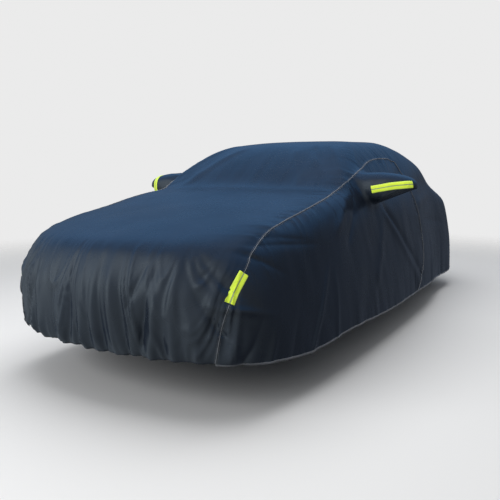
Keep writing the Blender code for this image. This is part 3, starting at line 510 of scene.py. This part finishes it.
def side_points(side, across, up):
    """A side panel by blending its four edges: across from its front to its rear, up from hem to seam."""
    plan = walk(SIDE_HEM, across)
    hem = np.column_stack([plan, curve(HEM_LINE, plan[:, 1])])
    top = onto_cover(walk(SEAM_TOP, across))
    rise, fall = onto_cover(walk(SEAM_RISE, up)), onto_cover(walk(SEAM_FALL, 1 - up))
    ends = [onto_cover(walk(run, [0.0, 1.0])) for run in (SEAM_RISE, SEAM_FALL)]
    (low_front, high_front), (high_rear, low_rear) = ends
    u, v = across[None, :, None], up[:, None, None]
    corners = ((1 - u) * ((1 - v) * low_front + v * high_front) + u * ((1 - v) * low_rear + v * high_rear))
    grid = (1 - v) * hem + v * top + (1 - u) * rise[:, None] + u * fall[:, None] - corners
    return mirrored(onto_cover(grid), side)


def pocket_points(side):
    """The mirror pocket, on rays from inside it that crowd towards its end."""
    flat = side_points(side, np.linspace(*POCKET_SPAN, POCKET_COLUMNS + 1),
                       np.linspace(POCKET_LEVEL, 1, POCKET_ROWS + 1))
    core = mirrored(POCKET_CORE, side)
    across, up = (np.linspace(-1, 1, count + 1) for count in (POCKET_COLUMNS, POCKET_ROWS))
    from_edge = (across ** 4 + up[:, None] ** 4) ** 0.25
    crowd = POCKET_CROWD + (1 - POCKET_CROWD) * np.minimum(from_edge, 1) ** 2
    root = np.array((flat[..., 0].mean(), core[1], core[2]))
    rays = root + (flat - root) * crowd[..., None] - core
    points = cast(np.broadcast_to(core, rays.shape), rays)
    share = ramp(from_edge, POCKET_RIM, 1.0)[..., None]
    points = nearest(points * (1 - share) + flat * share)
    points[[0, -1]], points[:, [0, -1]] = flat[[0, -1]], flat[:, [0, -1]]
    return points


def hem_paths():
    """The bound hem, from the left front corner round the back to the right, and the points above it."""
    rear = rear_points(front_points()[-1])
    up = np.array((0.0, HEM_SHARE))
    sides = [side_points(side, np.linspace(0, 1, HEM_POINTS), up) for side, _ in SIDES]
    edge = [sides[0][0], rear[1:-1, -1], rear[-1, ::-1], rear[-2:0:-1, 0], sides[1][0, ::-1]]
    above = [sides[0][1], rear[1:-1, -2], rear[-2, ::-1], rear[-2:0:-1, 1], sides[1][1, ::-1]]
    return np.concatenate(edge), np.concatenate(above)


# ---------------------------------------------------------------- meshes
def lay(bm, points, weave):
    """Add a grid through the points given as [row][column], and write its places on the cloth.

    It gives the row and the column of each new vertex.
    """
    rows, columns = points.shape[:2]
    made = bmesh.ops.create_grid(bm, x_segments=columns - 1, y_segments=rows - 1, size=1.0)["verts"]
    flat = np.array([vertex.co[:2] for vertex in made])
    low, high = flat.min(0), flat.max(0)
    steps = np.rint((flat - low) / (high - low) * (columns - 1, rows - 1)).astype(int).tolist()
    places = {vertex: (row, column) for vertex, (column, row) in zip(made, steps)}
    for vertex, place in places.items():
        vertex.co = points[place]
    layer = bm.loops.layers.uv.get("cloth") or bm.loops.layers.uv.new("cloth")
    for face in {face for vertex in made for face in vertex.link_faces}:
        face.smooth = True
        for loop in face.loops:
            loop[layer].uv = weave[places[loop.vert]]
    return places


def along_grid(points):
    """Places on the cloth in metres: across from the middle column, and along each column."""
    across = np.linalg.norm(np.diff(points, axis=1), axis=2)
    across = np.concatenate([np.zeros((len(points), 1)), np.cumsum(across, axis=1)], 1)
    across -= across[:, points.shape[1] // 2:][:, :1]
    along = np.linalg.norm(np.diff(points, axis=0), axis=2)
    along = np.concatenate([np.zeros((1, points.shape[1])), np.cumsum(along, axis=0)])
    return np.stack([across, along], -1)


def add_piece(name, bm, material, nodes=()):
    """Make a mesh into a piece of the cover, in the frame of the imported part."""
    bmesh.ops.translate(bm, verts=bm.verts, vec=TO_PART)
    mesh = bpy.data.meshes.new(name)
    bm.to_mesh(mesh)
    bm.free()
    mesh.materials.append(material)
    piece = bpy.data.objects.new(name, mesh)
    bpy.context.scene.collection.objects.link(piece)
    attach(piece, "root")
    if nodes:
        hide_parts(*nodes)
    return piece


def directions(path, normals):
    """Unit vectors square to a path and level with the cloth."""
    aside = np.cross(np.gradient(path, axis=0), normals)
    return aside / np.linalg.norm(aside, axis=1, keepdims=True)


def cord_grid(bm, path, up, aside, height, width, corners, squareness=1.0):
    """A closed cord around a path: rounded rings, joined into a tube with filled ends."""
    angles = np.linspace(0, 2 * np.pi, corners + 1)
    rings = (np.sign(np.cos(angles)) * np.abs(np.cos(angles)) ** squareness,
             np.sign(np.sin(angles)) * np.abs(np.sin(angles)) ** squareness)
    points = (path[:, None] + aside[:, None] * rings[0][None, :, None] * width
              + up[:, None] * rings[1][None, :, None] * height)
    reach = np.concatenate([[0], np.cumsum(np.linalg.norm(np.diff(path, axis=0), axis=1))])
    weave = np.stack(np.broadcast_arrays(angles[None, :] * (width + height) / 2, reach[:, None]), -1)
    lay(bm, points, weave)
    bmesh.ops.remove_doubles(bm, verts=bm.verts, dist=1e-6)
    ends = [edge for edge in bm.edges if edge.is_boundary]
    bmesh.ops.holes_fill(bm, edges=ends, sides=0)


def thread(bm, path, pitch, radius, lift):
    """A row of stitches along a path on the smooth cover: a thread that goes in and out of the cloth."""
    length = np.linalg.norm(np.diff(path, axis=0), axis=1).sum()
    count = int(length / pitch) * 4
    points, normals = drape(nearest(walk(path, np.arange(count) / count)))
    dive = np.tile(STITCH_DIVE, count // 4)[:, None] * radius + lift
    aside = directions(points, normals)
    cord_grid(bm, points + normals * dive, normals, aside, radius, radius, 4)


# ---------------------------------------------------------------- materials
def add_node(tree, kind, place=(0, 0), **settings):
    node = tree.nodes.new(kind)
    node.location = place
    for name, value in settings.items():
        setattr(node, name, value)
    return node


def sum_up(tree, operation, *values, place=(0, 0)):
    """A math node on sockets or numbers; gives its output."""
    node = add_node(tree, "ShaderNodeMath", place, operation=operation)
    for socket, value in zip(node.inputs, values):
        if isinstance(value, (int, float)):
            socket.default_value = value
        else:
            tree.links.new(value, socket)
    return node.outputs[0]


def new_group(name, inputs, output):
    """A shader node group with float or vector inputs and one float output."""
    group = bpy.data.node_groups.new(name, "ShaderNodeTree")
    for label, kind, value in inputs:
        socket = group.interface.new_socket(label, in_out="INPUT", socket_type=kind)
        if value is not None:
            socket.default_value = value
    group.interface.new_socket(output, in_out="OUTPUT", socket_type="NodeSocketFloat")
    return group, add_node(group, "NodeGroupInput", (-900, 0)), add_node(group, "NodeGroupOutput", (700, 0))


def weave_group():
    """Plain weave: threads that go over and under each other. The pitch is the width of one thread."""
    group, given, result = new_group("Plain Weave", (("Place", "NodeSocketVector", None),
                                                     ("Pitch", "NodeSocketFloat", 0.001)), "Height")
    split = add_node(group, "ShaderNodeSeparateXYZ", (-700, 0))
    group.links.new(given.outputs["Place"], split.inputs[0])
    waves = []
    for k in (0, 1):
        turn = sum_up(group, "DIVIDE", split.outputs[k], given.outputs["Pitch"], place=(-500, -200 * k))
        turn = sum_up(group, "MULTIPLY", turn, np.pi, place=(-300, -200 * k))
        waves.append(sum_up(group, "SINE", turn, place=(-100, -200 * k)))
    over = sum_up(group, "MULTIPLY", waves[0], waves[1], place=(100, 0))
    over = sum_up(group, "MULTIPLY_ADD", over, 0.5, 0.5, place=(300, 0))
    group.links.new(over, result.inputs[0])
    return group


def mottle_group():
    """Cloudy unevenness between two values, for slight changes of colour, gloss and height."""
    group, given, result = new_group("Mottle", (("Place", "NodeSocketVector", None),
                                                ("Scale", "NodeSocketFloat", 3.0),
                                                ("Low", "NodeSocketFloat", 0.0),
                                                ("High", "NodeSocketFloat", 1.0)), "Value")
    noise = add_node(group, "ShaderNodeTexNoise", (-500, 0))
    noise.inputs["Detail"].default_value = 3.0
    group.links.new(given.outputs["Place"], noise.inputs["Vector"])
    group.links.new(given.outputs["Scale"], noise.inputs["Scale"])
    scaled = add_node(group, "ShaderNodeMapRange", (-200, 0), clamp=False)
    scaled.inputs["From Min"].default_value = 0.25
    scaled.inputs["From Max"].default_value = 0.75
    group.links.new(noise.outputs["Fac"], scaled.inputs["Value"])
    group.links.new(given.outputs["Low"], scaled.inputs["To Min"])
    group.links.new(given.outputs["High"], scaled.inputs["To Max"])
    group.links.new(scaled.outputs["Result"], result.inputs[0])
    return group


def stitch_group():
    """A dashed line of stitches at a given place across a tape, 1 on the thread and 0 beside it."""
    group, given, result = new_group("Stitch Line", (("Place", "NodeSocketVector", None),
                                                     ("Across", "NodeSocketFloat", 0.0),
                                                     ("Width", "NodeSocketFloat", 0.0012),
                                                     ("Pitch", "NodeSocketFloat", 0.006)), "Mask")
    split = add_node(group, "ShaderNodeSeparateXYZ", (-700, 0))
    group.links.new(given.outputs["Place"], split.inputs[0])
    away = sum_up(group, "SUBTRACT", split.outputs[0], given.outputs["Across"], place=(-500, 0))
    away = sum_up(group, "ABSOLUTE", away, place=(-350, 0))
    near = sum_up(group, "LESS_THAN", away, given.outputs["Width"], place=(-200, 0))
    turn = sum_up(group, "DIVIDE", split.outputs[1], given.outputs["Pitch"], place=(-500, -200))
    turn = sum_up(group, "FRACT", turn, place=(-350, -200))
    dash = sum_up(group, "LESS_THAN", turn, 0.72, place=(-200, -200))
    mask = sum_up(group, "MULTIPLY", near, dash, place=(0, 0))
    group.links.new(mask, result.inputs[0])
    return group


def coordinates(tree):
    """Places on the cloth, and places in space."""
    return (add_node(tree, "ShaderNodeUVMap", (-1300, 0), uv_map="cloth").outputs[0],
            add_node(tree, "ShaderNodeTexCoord", (-1300, 300)).outputs["Object"])


def spread(tree, value, low, high, least, most, place):
    """A value taken softly from one range into another; gives its output."""
    node = add_node(tree, "ShaderNodeMapRange", place, interpolation_type="SMOOTHSTEP")
    for name, number in (("From Min", low), ("From Max", high), ("To Min", least), ("To Max", most)):
        node.inputs[name].default_value = number
    tree.links.new(value, node.inputs["Value"])
    return node.outputs["Result"]


def shade(colour, share):
    return tuple(min(value * share, 1.0) for value in colour)


def use_group(tree, group, place, vector, **values):
    node = add_node(tree, "ShaderNodeGroup", place, node_tree=group)
    tree.links.new(vector, node.inputs["Place"])
    for name, value in values.items():
        node.inputs[name].default_value = value
    return node.outputs[0]


def new_material(name, colour, roughness):
    """A material with its tree and its principled shader."""
    material = bpy.data.materials.new(name)
    material.use_nodes = True
    material.diffuse_color = (*colour, 1)
    shader = next(node for node in material.node_tree.nodes if node.type == "BSDF_PRINCIPLED")
    shader.inputs["Base Color"].default_value = (*colour, 1)
    shader.inputs["Roughness"].default_value = roughness
    return material, material.node_tree, shader


def mix_colours(tree, factor, first, second, place):
    mix = add_node(tree, "ShaderNodeMix", place, data_type="RGBA")
    tree.links.new(factor, mix.inputs["Factor"])
    for socket, colour in zip((mix.inputs[6], mix.inputs[7]), (first, second)):
        if isinstance(colour, bpy.types.NodeSocket):
            tree.links.new(colour, socket)
        else:
            socket.default_value = (*colour, 1)
    return mix.outputs[2]


def bump(tree, height, distance, strength, place, below=None):
    node = add_node(tree, "ShaderNodeBump", place)
    node.inputs["Strength"].default_value = strength
    node.inputs["Distance"].default_value = distance
    tree.links.new(height, node.inputs["Height"])
    if below is not None:
        tree.links.new(below, node.inputs["Normal"])
    return node.outputs["Normal"]


def cloth_material(name, colour, roughness, pitch, groups):
    """Woven cloth: weave, slight crinkle, and a little unevenness of colour and gloss."""
    _, tree, shader = new_material(name, colour, roughness)
    cloth, space = coordinates(tree)
    worn = use_group(tree, groups["mottle"], (-900, 400), space, Scale=2.2, Low=0.0, High=1.0)
    fine = use_group(tree, groups["mottle"], (-900, 200), space, Scale=60.0, Low=0.0, High=1.0)
    light = tuple(min(value * 1.28 + 0.001, 1.0) for value in colour)
    tone = mix_colours(tree, worn, shade(colour, 0.86), light, (-500, 400))
    tree.links.new(tone, shader.inputs["Base Color"])
    gloss = use_group(tree, groups["mottle"], (-900, -200), space, Scale=5.0,
                      Low=roughness - 0.03, High=roughness + 0.05)
    tree.links.new(gloss, shader.inputs["Roughness"])
    threads = use_group(tree, groups["weave"], (-900, 0), cloth, Pitch=pitch)
    normal = bump(tree, fine, 0.0008, 0.14, (-500, 0))
    normal = bump(tree, threads, pitch * 0.30, 0.30, (-300, 0), normal)
    tree.links.new(normal, shader.inputs["Normal"])


def strip_material(name, colour, groups):
    """Neon reflective tape: a woven face, a greyish groove in the middle, three stitched lines and a
    painted glow that is weaker in the groove.
    """
    _, tree, shader = new_material(name, colour, 0.33)
    cloth, space = coordinates(tree)
    worn = use_group(tree, groups["mottle"], (-900, 500), space, Scale=25.0, Low=0.0, High=1.0)
    tone = mix_colours(tree, worn, shade(colour, 0.90), colour, (-600, 500))
    masks = [use_group(tree, groups["stitch"], (-900, 300 - 200 * k), cloth, Across=across, Width=width)
             for k, (across, width) in enumerate(STRIP_STITCHES)]
    stitched = sum_up(tree, "MAXIMUM", sum_up(tree, "MAXIMUM", masks[0], masks[1]), masks[2])
    split = add_node(tree, "ShaderNodeSeparateXYZ", (-1100, -400))
    tree.links.new(cloth, split.inputs[0])
    middle = sum_up(tree, "LESS_THAN", sum_up(tree, "ABSOLUTE", split.outputs[0]), STRIP_GROOVE)
    grooved = mix_colours(tree, middle, tone, GROOVE_COLOUR, (-400, 400))
    tone = mix_colours(tree, stitched, grooved, STITCH_COLOUR, (-200, 400))
    tree.links.new(tone, shader.inputs["Base Color"])
    threads = use_group(tree, groups["weave"], (-900, -300), cloth, Pitch=0.0024)
    lowered = sum_up(tree, "SUBTRACT", sum_up(tree, "MULTIPLY", threads, 0.25), middle)
    normal = bump(tree, lowered, 0.0006, 0.6, (-300, -200))
    tree.links.new(normal, shader.inputs["Normal"])
    # painted glow: the tape gives off light in its own colour, a fifth as much along the groove, so it
    # shines brighter than lit cloth
    glow = mix_colours(tree, middle, colour, shade(colour, 0.2), (-200, -500))
    tree.links.new(glow, shader.inputs["Emission Color"])
    shader.inputs["Emission Strength"].default_value = 0.26


def thread_material(name, colour, groups):
    """Matt spun thread and tape."""
    _, tree, shader = new_material(name, colour, 0.62)
    cloth, space = coordinates(tree)
    worn = use_group(tree, groups["mottle"], (-900, 400), space, Scale=30.0, Low=0.0, High=1.0)
    tone = mix_colours(tree, worn, shade(colour, 0.75), shade(colour, 1.3), (-500, 400))
    tree.links.new(tone, shader.inputs["Base Color"])
    threads = use_group(tree, groups["weave"], (-900, 0), cloth, Pitch=0.0011)
    tree.links.new(bump(tree, threads, 0.0004, 0.5, (-300, 0)), shader.inputs["Normal"])
    shader.inputs["Sheen Weight"].default_value = 0.3


def materials():
    """The materials of the cover, made once and shared by its pieces."""
    look = bpy.context.scene.cover_look
    if "cover_cloth" not in bpy.data.materials:
        groups = {"weave": weave_group(), "mottle": mottle_group(), "stitch": stitch_group()}
        cloth_material("cover_cloth", look.cloth_colour, look.cloth_roughness, look.weave_pitch, groups)
        thread_material("cover_thread", look.thread_colour, groups)
        strip_material("cover_strip", look.strip_colour, groups)
    return [bpy.data.materials[name] for name in ("cover_cloth", "cover_thread", "cover_strip")]


# ---------------------------------------------------------------- settings
def colour_setting(name, description, *default):
    return FloatVectorProperty(name=name, description=description, subtype="COLOR", size=3, min=0, max=1,
                               default=default)


def length_setting(name, description, default, least, most):
    return FloatProperty(name=name, description=description, default=default, min=least, max=most,
                         precision=4, unit="LENGTH")


def strength_setting(name, description, default, most=5, **unit):
    return FloatProperty(name=name, description=description, default=default, min=0, max=most, **unit)


class CoverLook(bpy.types.PropertyGroup):
    cloth_colour: colour_setting("Cloth", "Colour of the cloth", 0.0135, 0.0195, 0.033)
    cloth_roughness: FloatProperty(
        name="Cloth Roughness", description="Lower is more satin", default=0.27, min=0.05, max=1)
    thread_colour: colour_setting(
        "Thread", "Colour of the piping, the hem tape and the stitches", 0.175, 0.185, 0.205)
    # the strip colour is also the colour of the strips' painted glow
    strip_colour: colour_setting("Strips", "Colour of the reflective strips", 0.78, 1.0, 0.07)
    weave_pitch: length_setting("Weave", "Width of one woven yarn", 0.0009, 0.0003, 0.01)
    piping_radius: length_setting("Piping", "Radius of the seam piping", 0.0021, 0.001, 0.006)
    stitch_pitch: length_setting("Stitch", "Length of one stitch and its gap", 0.0065, 0.003, 0.02)


class StageLook(bpy.types.PropertyGroup):
    backdrop_colour: colour_setting("Backdrop", "Colour behind the cover", 0.83, 0.83, 0.83)
    sky_colour: colour_setting(
        "Sky", "Colour that the cloth mirrors from above and behind", 0.145, 0.40, 0.83)
    haze_colour: colour_setting(
        "Haze", "Colour that the cloth mirrors from level and below", 0.115, 0.14, 0.185)
    soft_colour: colour_setting("Soft Lights", "Colour of the mirrored soft lights", 0.80, 0.94, 1.0)
    sky_strength: strength_setting("Mirrored Strength", "Brightness of all that the cloth mirrors", 0.80)
    fill_strength: strength_setting("Fill", "Brightness of the even light from all sides", 0.35)
    overhead_power: strength_setting("Overhead", "Power of the large lamp above", 240, 5000, unit="POWER")
    front_power: strength_setting("Front", "Power of the lamp in front", 170, 5000, unit="POWER")


# ---------------------------------------------------------------- pieces
class COVER_OT_top_panel(bpy.types.Operator):
    """Add the long top panel, from the front hem over the roof to the rear hem"""
    bl_idname = "cover.top_panel"
    bl_label = "Add Top Panel"
    bl_options = {"REGISTER", "UNDO"}

    def execute(self, context):
        cloth, _, _ = materials()
        front = front_points()
        rear = rear_points(front[-1])
        bm = bmesh.new()
        for base, turned in ((front, True), (rear, False)):
            points, normals = drape(base)
            weave = along_grid(base)
            if turned:
                first = weave[-1, :, 1]
                points = np.concatenate([points[2::-1] - normals[2::-1] * HEM_TURN, points])
                weave = np.concatenate([weave[2::-1] * (1, -1), weave])
            else:
                weave[..., 1] += np.pad(first, (base.shape[1] - len(first)) // 2, mode="edge")
            lay(bm, points, weave)
        bmesh.ops.remove_doubles(bm, verts=bm.verts, dist=1e-5)
        panel = add_piece("cloth_top", bm, cloth, ["top_panel"])
        return {"FINISHED"}


class COVER_OT_side_panels(bpy.types.Operator):
    """Add the D-shaped panels of both sides, open where the mirror pockets are sewn in"""
    bl_idname = "cover.side_panels"
    bl_label = "Add Side Panels"
    bl_options = {"REGISTER", "UNDO"}

    def execute(self, context):
        cloth, _, _ = materials()
        for side, word in SIDES:
            base = side_points(side, np.linspace(0, 1, SIDE_COLUMNS + 1), np.linspace(0, 1, SIDE_ROWS + 1))
            base = base[:, ::side]
            bm = bmesh.new()
            places = lay(bm, drape(base)[0], along_grid(base))
            self.open_pocket(bm, places, side)
            panel = add_piece(f"cloth_side_{word}", bm, cloth, [f"side_panel_{word}"])
        return {"FINISHED"}

    def open_pocket(self, bm, places, side):
        """Take out the block of faces that the mirror pocket fills."""
        first, last = (round(share * SIDE_COLUMNS) for share in POCKET_SPAN[::side])
        if side < 0:
            first, last = SIDE_COLUMNS - first, SIDE_COLUMNS - last
        bottom = round(POCKET_LEVEL * SIDE_ROWS)
        inside = {vertex for vertex, (row, column) in places.items()
                  if row >= bottom and first <= column <= last}
        faces = [face for face in bm.faces if inside.issuperset(face.verts)]
        if not faces:
            raise RuntimeError("The side panel has no faces where the mirror pocket lies")
        bmesh.ops.delete(bm, geom=faces, context="FACES")


class COVER_OT_mirror_pockets(bpy.types.Operator):
    """Add the mirror pockets of both sides"""
    bl_idname = "cover.mirror_pockets"
    bl_label = "Add Mirror Pockets"
    bl_options = {"REGISTER", "UNDO"}

    def execute(self, context):
        cloth, _, _ = materials()
        for side, word in SIDES:
            base = pocket_points(side)[:, ::side]
            bm = bmesh.new()
            lay(bm, drape(base)[0], along_grid(base))
            pocket = add_piece(f"cloth_pocket_{word}", bm, cloth, [f"mirror_pocket_{word}"])
        return {"FINISHED"}


class COVER_OT_seam_piping(bpy.types.Operator):
    """Add the light piping along the arched seams, and the row of stitches on both sides of it"""
    bl_idname = "cover.seam_piping"
    bl_label = "Add Seam Piping"
    bl_options = {"REGISTER", "UNDO"}

    def execute(self, context):
        _, thread_look, _ = materials()
        look = context.scene.cover_look
        for side, word in SIDES:
            low, high = self.paths(side)
            for path, part in ((low, "low"), (high, "top")):
                points, normals = drape(path)
                bm = bmesh.new()
                radius = look.piping_radius
                cord_grid(bm, points + normals * radius * PIPING_SEAT, normals, directions(points, normals),
                          radius, radius, PIPING_CORNERS)
                add_piece(f"piping_{word}_{part}", bm, thread_look,
                          [f"seam_piping_{word}_{part}"])
            bm = bmesh.new()
            for path in (low, high):
                aside = directions(path, outward(path))
                for way in (-1, 1):
                    row = nearest(path + aside * way * STITCH_ASIDE)
                    thread(bm, row, look.stitch_pitch, STITCH_RADIUS, STITCH_LIFT)
            add_piece(f"seam_stitches_{word}", bm, thread_look)
        return {"FINISHED"}

    def paths(self, side):
        """The seam below and above the front strip, as points on the smooth cover."""
        low, rise, top, fall = (
            walk(run, np.linspace(start, end, count)) for run, start, end, count in zip(
                (SEAM_RISE, SEAM_RISE, SEAM_TOP, SEAM_FALL), (0, STRIP_SPAN[1] + STRIP_GAP, 0, 0),
                (STRIP_SPAN[0] - STRIP_GAP, 1, 1, 1), PIPING_POINTS))
        high = np.concatenate([rise, top[1:], fall[1:]])
        return [mirrored(onto_cover(path), side) for path in (low, high)]


class COVER_OT_hem(bpy.types.Operator):
    """Add the bound edge, from the left front corner round the back to the right one"""
    bl_idname = "cover.hem"
    bl_label = "Add Hem"
    bl_options = {"REGISTER", "UNDO"}

    def execute(self, context):
        _, thread_look, _ = materials()
        edge, above = hem_paths()
        points, normals = drape(edge)
        down = points - drape(above)[0]
        way = np.gradient(points, axis=0)
        way /= np.linalg.norm(way, axis=1, keepdims=True)
        down -= way * (down * way).sum(1, keepdims=True)
        down /= np.linalg.norm(down, axis=1, keepdims=True)
        across = np.cross(way, down)
        bm = bmesh.new()
        cord_grid(bm, points + down * HEM_TAPE_DROP, across, down, *HEM_TAPE, HEM_TAPE_CORNERS,
                  HEM_TAPE_SQUARENESS)
        add_piece("hem_tape", bm, thread_look, ["hem_binding"])
        return {"FINISHED"}


class COVER_OT_strips(bpy.types.Operator):
    """Add the reflective strips of the front corners and of the mirror pockets"""
    bl_idname = "cover.strips"
    bl_label = "Add Reflective Strips"
    bl_options = {"REGISTER", "UNDO"}

    def execute(self, context):
        _, _, tape = materials()
        corner = walk(SEAM_RISE, np.linspace(*STRIP_SPAN, STRIP_ROWS))
        across = np.linspace(-0.5, 0.5, STRIP_COLUMNS) * STRIP_WIDTH
        for (side, word), mirror in zip(SIDES, (LEFT_MIRROR_STRIP, RIGHT_MIRROR_STRIP)):
            for part, path in (("front", mirrored(corner, side)),
                               ("mirror", walk(mirror, np.linspace(0, 1, STRIP_ROWS)))):
                line = nearest(path)
                aside = directions(line, outward(line))
                base = nearest(line[:, None] + aside[:, None] * across[None, :, None])
                points, normals = drape(base)
                lift = STRIP_LIFT * (1 - STRIP_EDGE * np.abs(across / across[-1]) ** 8)
                points = points + normals * lift[None, :, None]
                weave = along_grid(base)
                way, rise = points[0, 1] - points[0, 0], points[1, 0] - points[0, 0]
                if np.dot(np.cross(way, rise), normals[0, 0]) < 0:
                    points, weave = points[:, ::-1], weave[:, ::-1]
                bm = bmesh.new()
                lay(bm, points, weave)
                strip = add_piece(f"tape_{part}_{word}", bm, tape, [f"{part}_strip_{word}"])
                solid = strip.modifiers.new("Thickness", "SOLIDIFY")
                solid.thickness = STRIP_LIFT * 0.8
                solid.offset = -1
                strip.visible_glossy = False
        return {"FINISHED"}


# ---------------------------------------------------------------- stage
class COVER_OT_stage(bpy.types.Operator):
    """Add the pale floor, the soft lamps, the world and the camera"""
    bl_idname = "cover.stage"
    bl_label = "Add Stage"
    bl_options = {"REGISTER", "UNDO"}

    def execute(self, context):
        look = context.scene.stage_look
        self.floor(look)
        self.world(context.scene, look)
        for name, place, aim, size, power in (
                ("overhead_lamp", (0.0, -0.4, 3.6), (0.0, 0.0, 0.0), (5.0, 6.5), look.overhead_power),
                ("front_lamp", (-1.6, -7.0, 1.4), (0.0, -2.0, -0.9), (4.5, 2.6), look.front_power)):
            lamp = bpy.data.lights.new(name, "AREA")
            lamp.shape = "RECTANGLE"
            lamp.size, lamp.size_y = size
            lamp.energy = power
            item = bpy.data.objects.new(name, lamp)
            item.location = place
            item.visible_glossy = False
            item.rotation_euler = (Vector(aim) - Vector(place)).to_track_quat("-Z", "Y").to_euler()
            context.scene.collection.objects.link(item)
        camera = bpy.data.cameras.new("camera")
        camera.lens = 36.0 * CAMERA_REACH / 500.0
        camera.sensor_width = 36.0
        camera.shift_x, camera.shift_y = CAMERA_SHIFT
        camera.clip_end = 200.0
        item = bpy.data.objects.new("camera", camera)
        item.location = Vector(CAMERA_PLACE) + TO_PART
        item.rotation_euler = (np.radians(90.0), 0.0, np.radians(CAMERA_TURN))
        context.scene.collection.objects.link(item)
        context.scene.camera = item
        context.scene.view_settings.view_transform = "Standard"
        return {"FINISHED"}

    def floor(self, look):
        bm = bmesh.new()
        bmesh.ops.create_circle(bm, cap_ends=True, segments=96, radius=FLOOR_RADIUS)
        bmesh.ops.translate(bm, verts=bm.verts, vec=(0, 0, GROUND_Z))
        mesh = bpy.data.meshes.new("floor")
        bm.to_mesh(mesh)
        bm.free()
        material, tree, shader = new_material("floor", look.backdrop_colour, 0.8)
        space = add_node(tree, "ShaderNodeTexCoord", (-900, 0)).outputs["Object"]
        reach = add_node(tree, "ShaderNodeVectorMath", (-700, 0), operation="LENGTH")
        tree.links.new(space, reach.inputs[0])
        fade = spread(tree, reach.outputs["Value"], *FLOOR_FADE, 1.0, 0.0, (-500, 0))
        tree.links.new(fade, shader.inputs["Alpha"])
        mesh.materials.append(material)
        item = bpy.data.objects.new("floor", mesh)
        bpy.context.scene.collection.objects.link(item)
        item.visible_glossy = False
        item.visible_diffuse = False

    def world(self, scene, look):
        world = bpy.data.worlds.new("studio")
        scene.world = world
        world.use_nodes = True
        tree = world.node_tree
        tree.nodes.clear()
        result = add_node(tree, "ShaderNodeOutputWorld", (600, 0))
        space = add_node(tree, "ShaderNodeTexCoord", (-900, 0)).outputs["Generated"]
        split = add_node(tree, "ShaderNodeSeparateXYZ", (-700, 0))
        tree.links.new(space, split.inputs[0])
        height = spread(tree, split.outputs[2], *SKY_HEIGHT, 0.0, 1.0, (-500, 0))
        haze = look.haze_colour
        for way, low, high, strength in SOFT_LIGHTS:
            light = add_node(tree, "ShaderNodeVectorMath", (-700, 250), operation="DOT_PRODUCT")
            tree.links.new(space, light.inputs[0])
            light.inputs[1].default_value = way
            wide = spread(tree, light.outputs["Value"], low, high, 0.0, 1.0, (-500, 250))
            glow = tuple(value * strength for value in look.soft_colour)
            haze = mix_colours(tree, wide, haze, glow, (-450, 100))
        behind = spread(tree, split.outputs[1], *SKY_START, SKY_LEAST, 1.0, (-500, -250))
        open_sky = sum_up(tree, "MULTIPLY", height, behind)
        sky = mix_colours(tree, open_sky, haze, look.sky_colour, (-300, 0))
        even = mix_colours(tree, height, (0.3, 0.3, 0.3), (1, 1, 1), (-300, -250))
        seen = add_node(tree, "ShaderNodeBackground", (0, 150))
        seen.inputs["Color"].default_value = (*look.backdrop_colour, 1)
        mirrored_sky = add_node(tree, "ShaderNodeBackground", (0, -150))
        mirrored_sky.inputs["Strength"].default_value = look.sky_strength
        tree.links.new(sky, mirrored_sky.inputs["Color"])
        fill = add_node(tree, "ShaderNodeBackground", (0, -300))
        tree.links.new(even, fill.inputs["Color"])
        fill.inputs["Strength"].default_value = look.fill_strength
        path = add_node(tree, "ShaderNodeLightPath", (0, 400))
        gloss = add_node(tree, "ShaderNodeMixShader", (200, -150))
        tree.links.new(path.outputs["Is Glossy Ray"], gloss.inputs[0])
        tree.links.new(fill.outputs[0], gloss.inputs[1])
        tree.links.new(mirrored_sky.outputs[0], gloss.inputs[2])
        mix = add_node(tree, "ShaderNodeMixShader", (400, 0))
        tree.links.new(path.outputs["Is Camera Ray"], mix.inputs[0])
        tree.links.new(gloss.outputs[0], mix.inputs[1])
        tree.links.new(seen.outputs[0], mix.inputs[2])
        tree.links.new(mix.outputs[0], result.inputs[0])


class COVER_PT_panel(bpy.types.Panel):
    bl_idname = "COVER_PT_panel"
    bl_label = "Fitted Cover"
    bl_space_type = "VIEW_3D"
    bl_region_type = "UI"
    bl_category = "Cover"

    def draw(self, context):
        layout = self.layout
        for group in (context.scene.cover_look, context.scene.stage_look):
            box = layout.box()
            for name in group.__annotations__:
                box.prop(group, name)
        for operator in OPERATORS:
            layout.operator(operator.bl_idname)


OPERATORS = (COVER_OT_top_panel, COVER_OT_side_panels, COVER_OT_mirror_pockets, COVER_OT_seam_piping,
             COVER_OT_hem, COVER_OT_strips, COVER_OT_stage)
CLASSES = (CoverLook, StageLook, *OPERATORS, COVER_PT_panel)


def register():
    for item in CLASSES:
        bpy.utils.register_class(item)
    bpy.types.Scene.cover_look = PointerProperty(type=CoverLook)
    bpy.types.Scene.stage_look = PointerProperty(type=StageLook)


def unregister():
    del bpy.types.Scene.stage_look
    del bpy.types.Scene.cover_look
    for item in reversed(CLASSES):
        bpy.utils.unregister_class(item)


def main():
    register()
    bpy.ops.cover.top_panel()
    bpy.ops.cover.side_panels()
    bpy.ops.cover.mirror_pockets()
    bpy.ops.cover.seam_piping()
    bpy.ops.cover.hem()
    bpy.ops.cover.strips()
    bpy.ops.cover.stage()


if __name__ == "__main__":
    main()
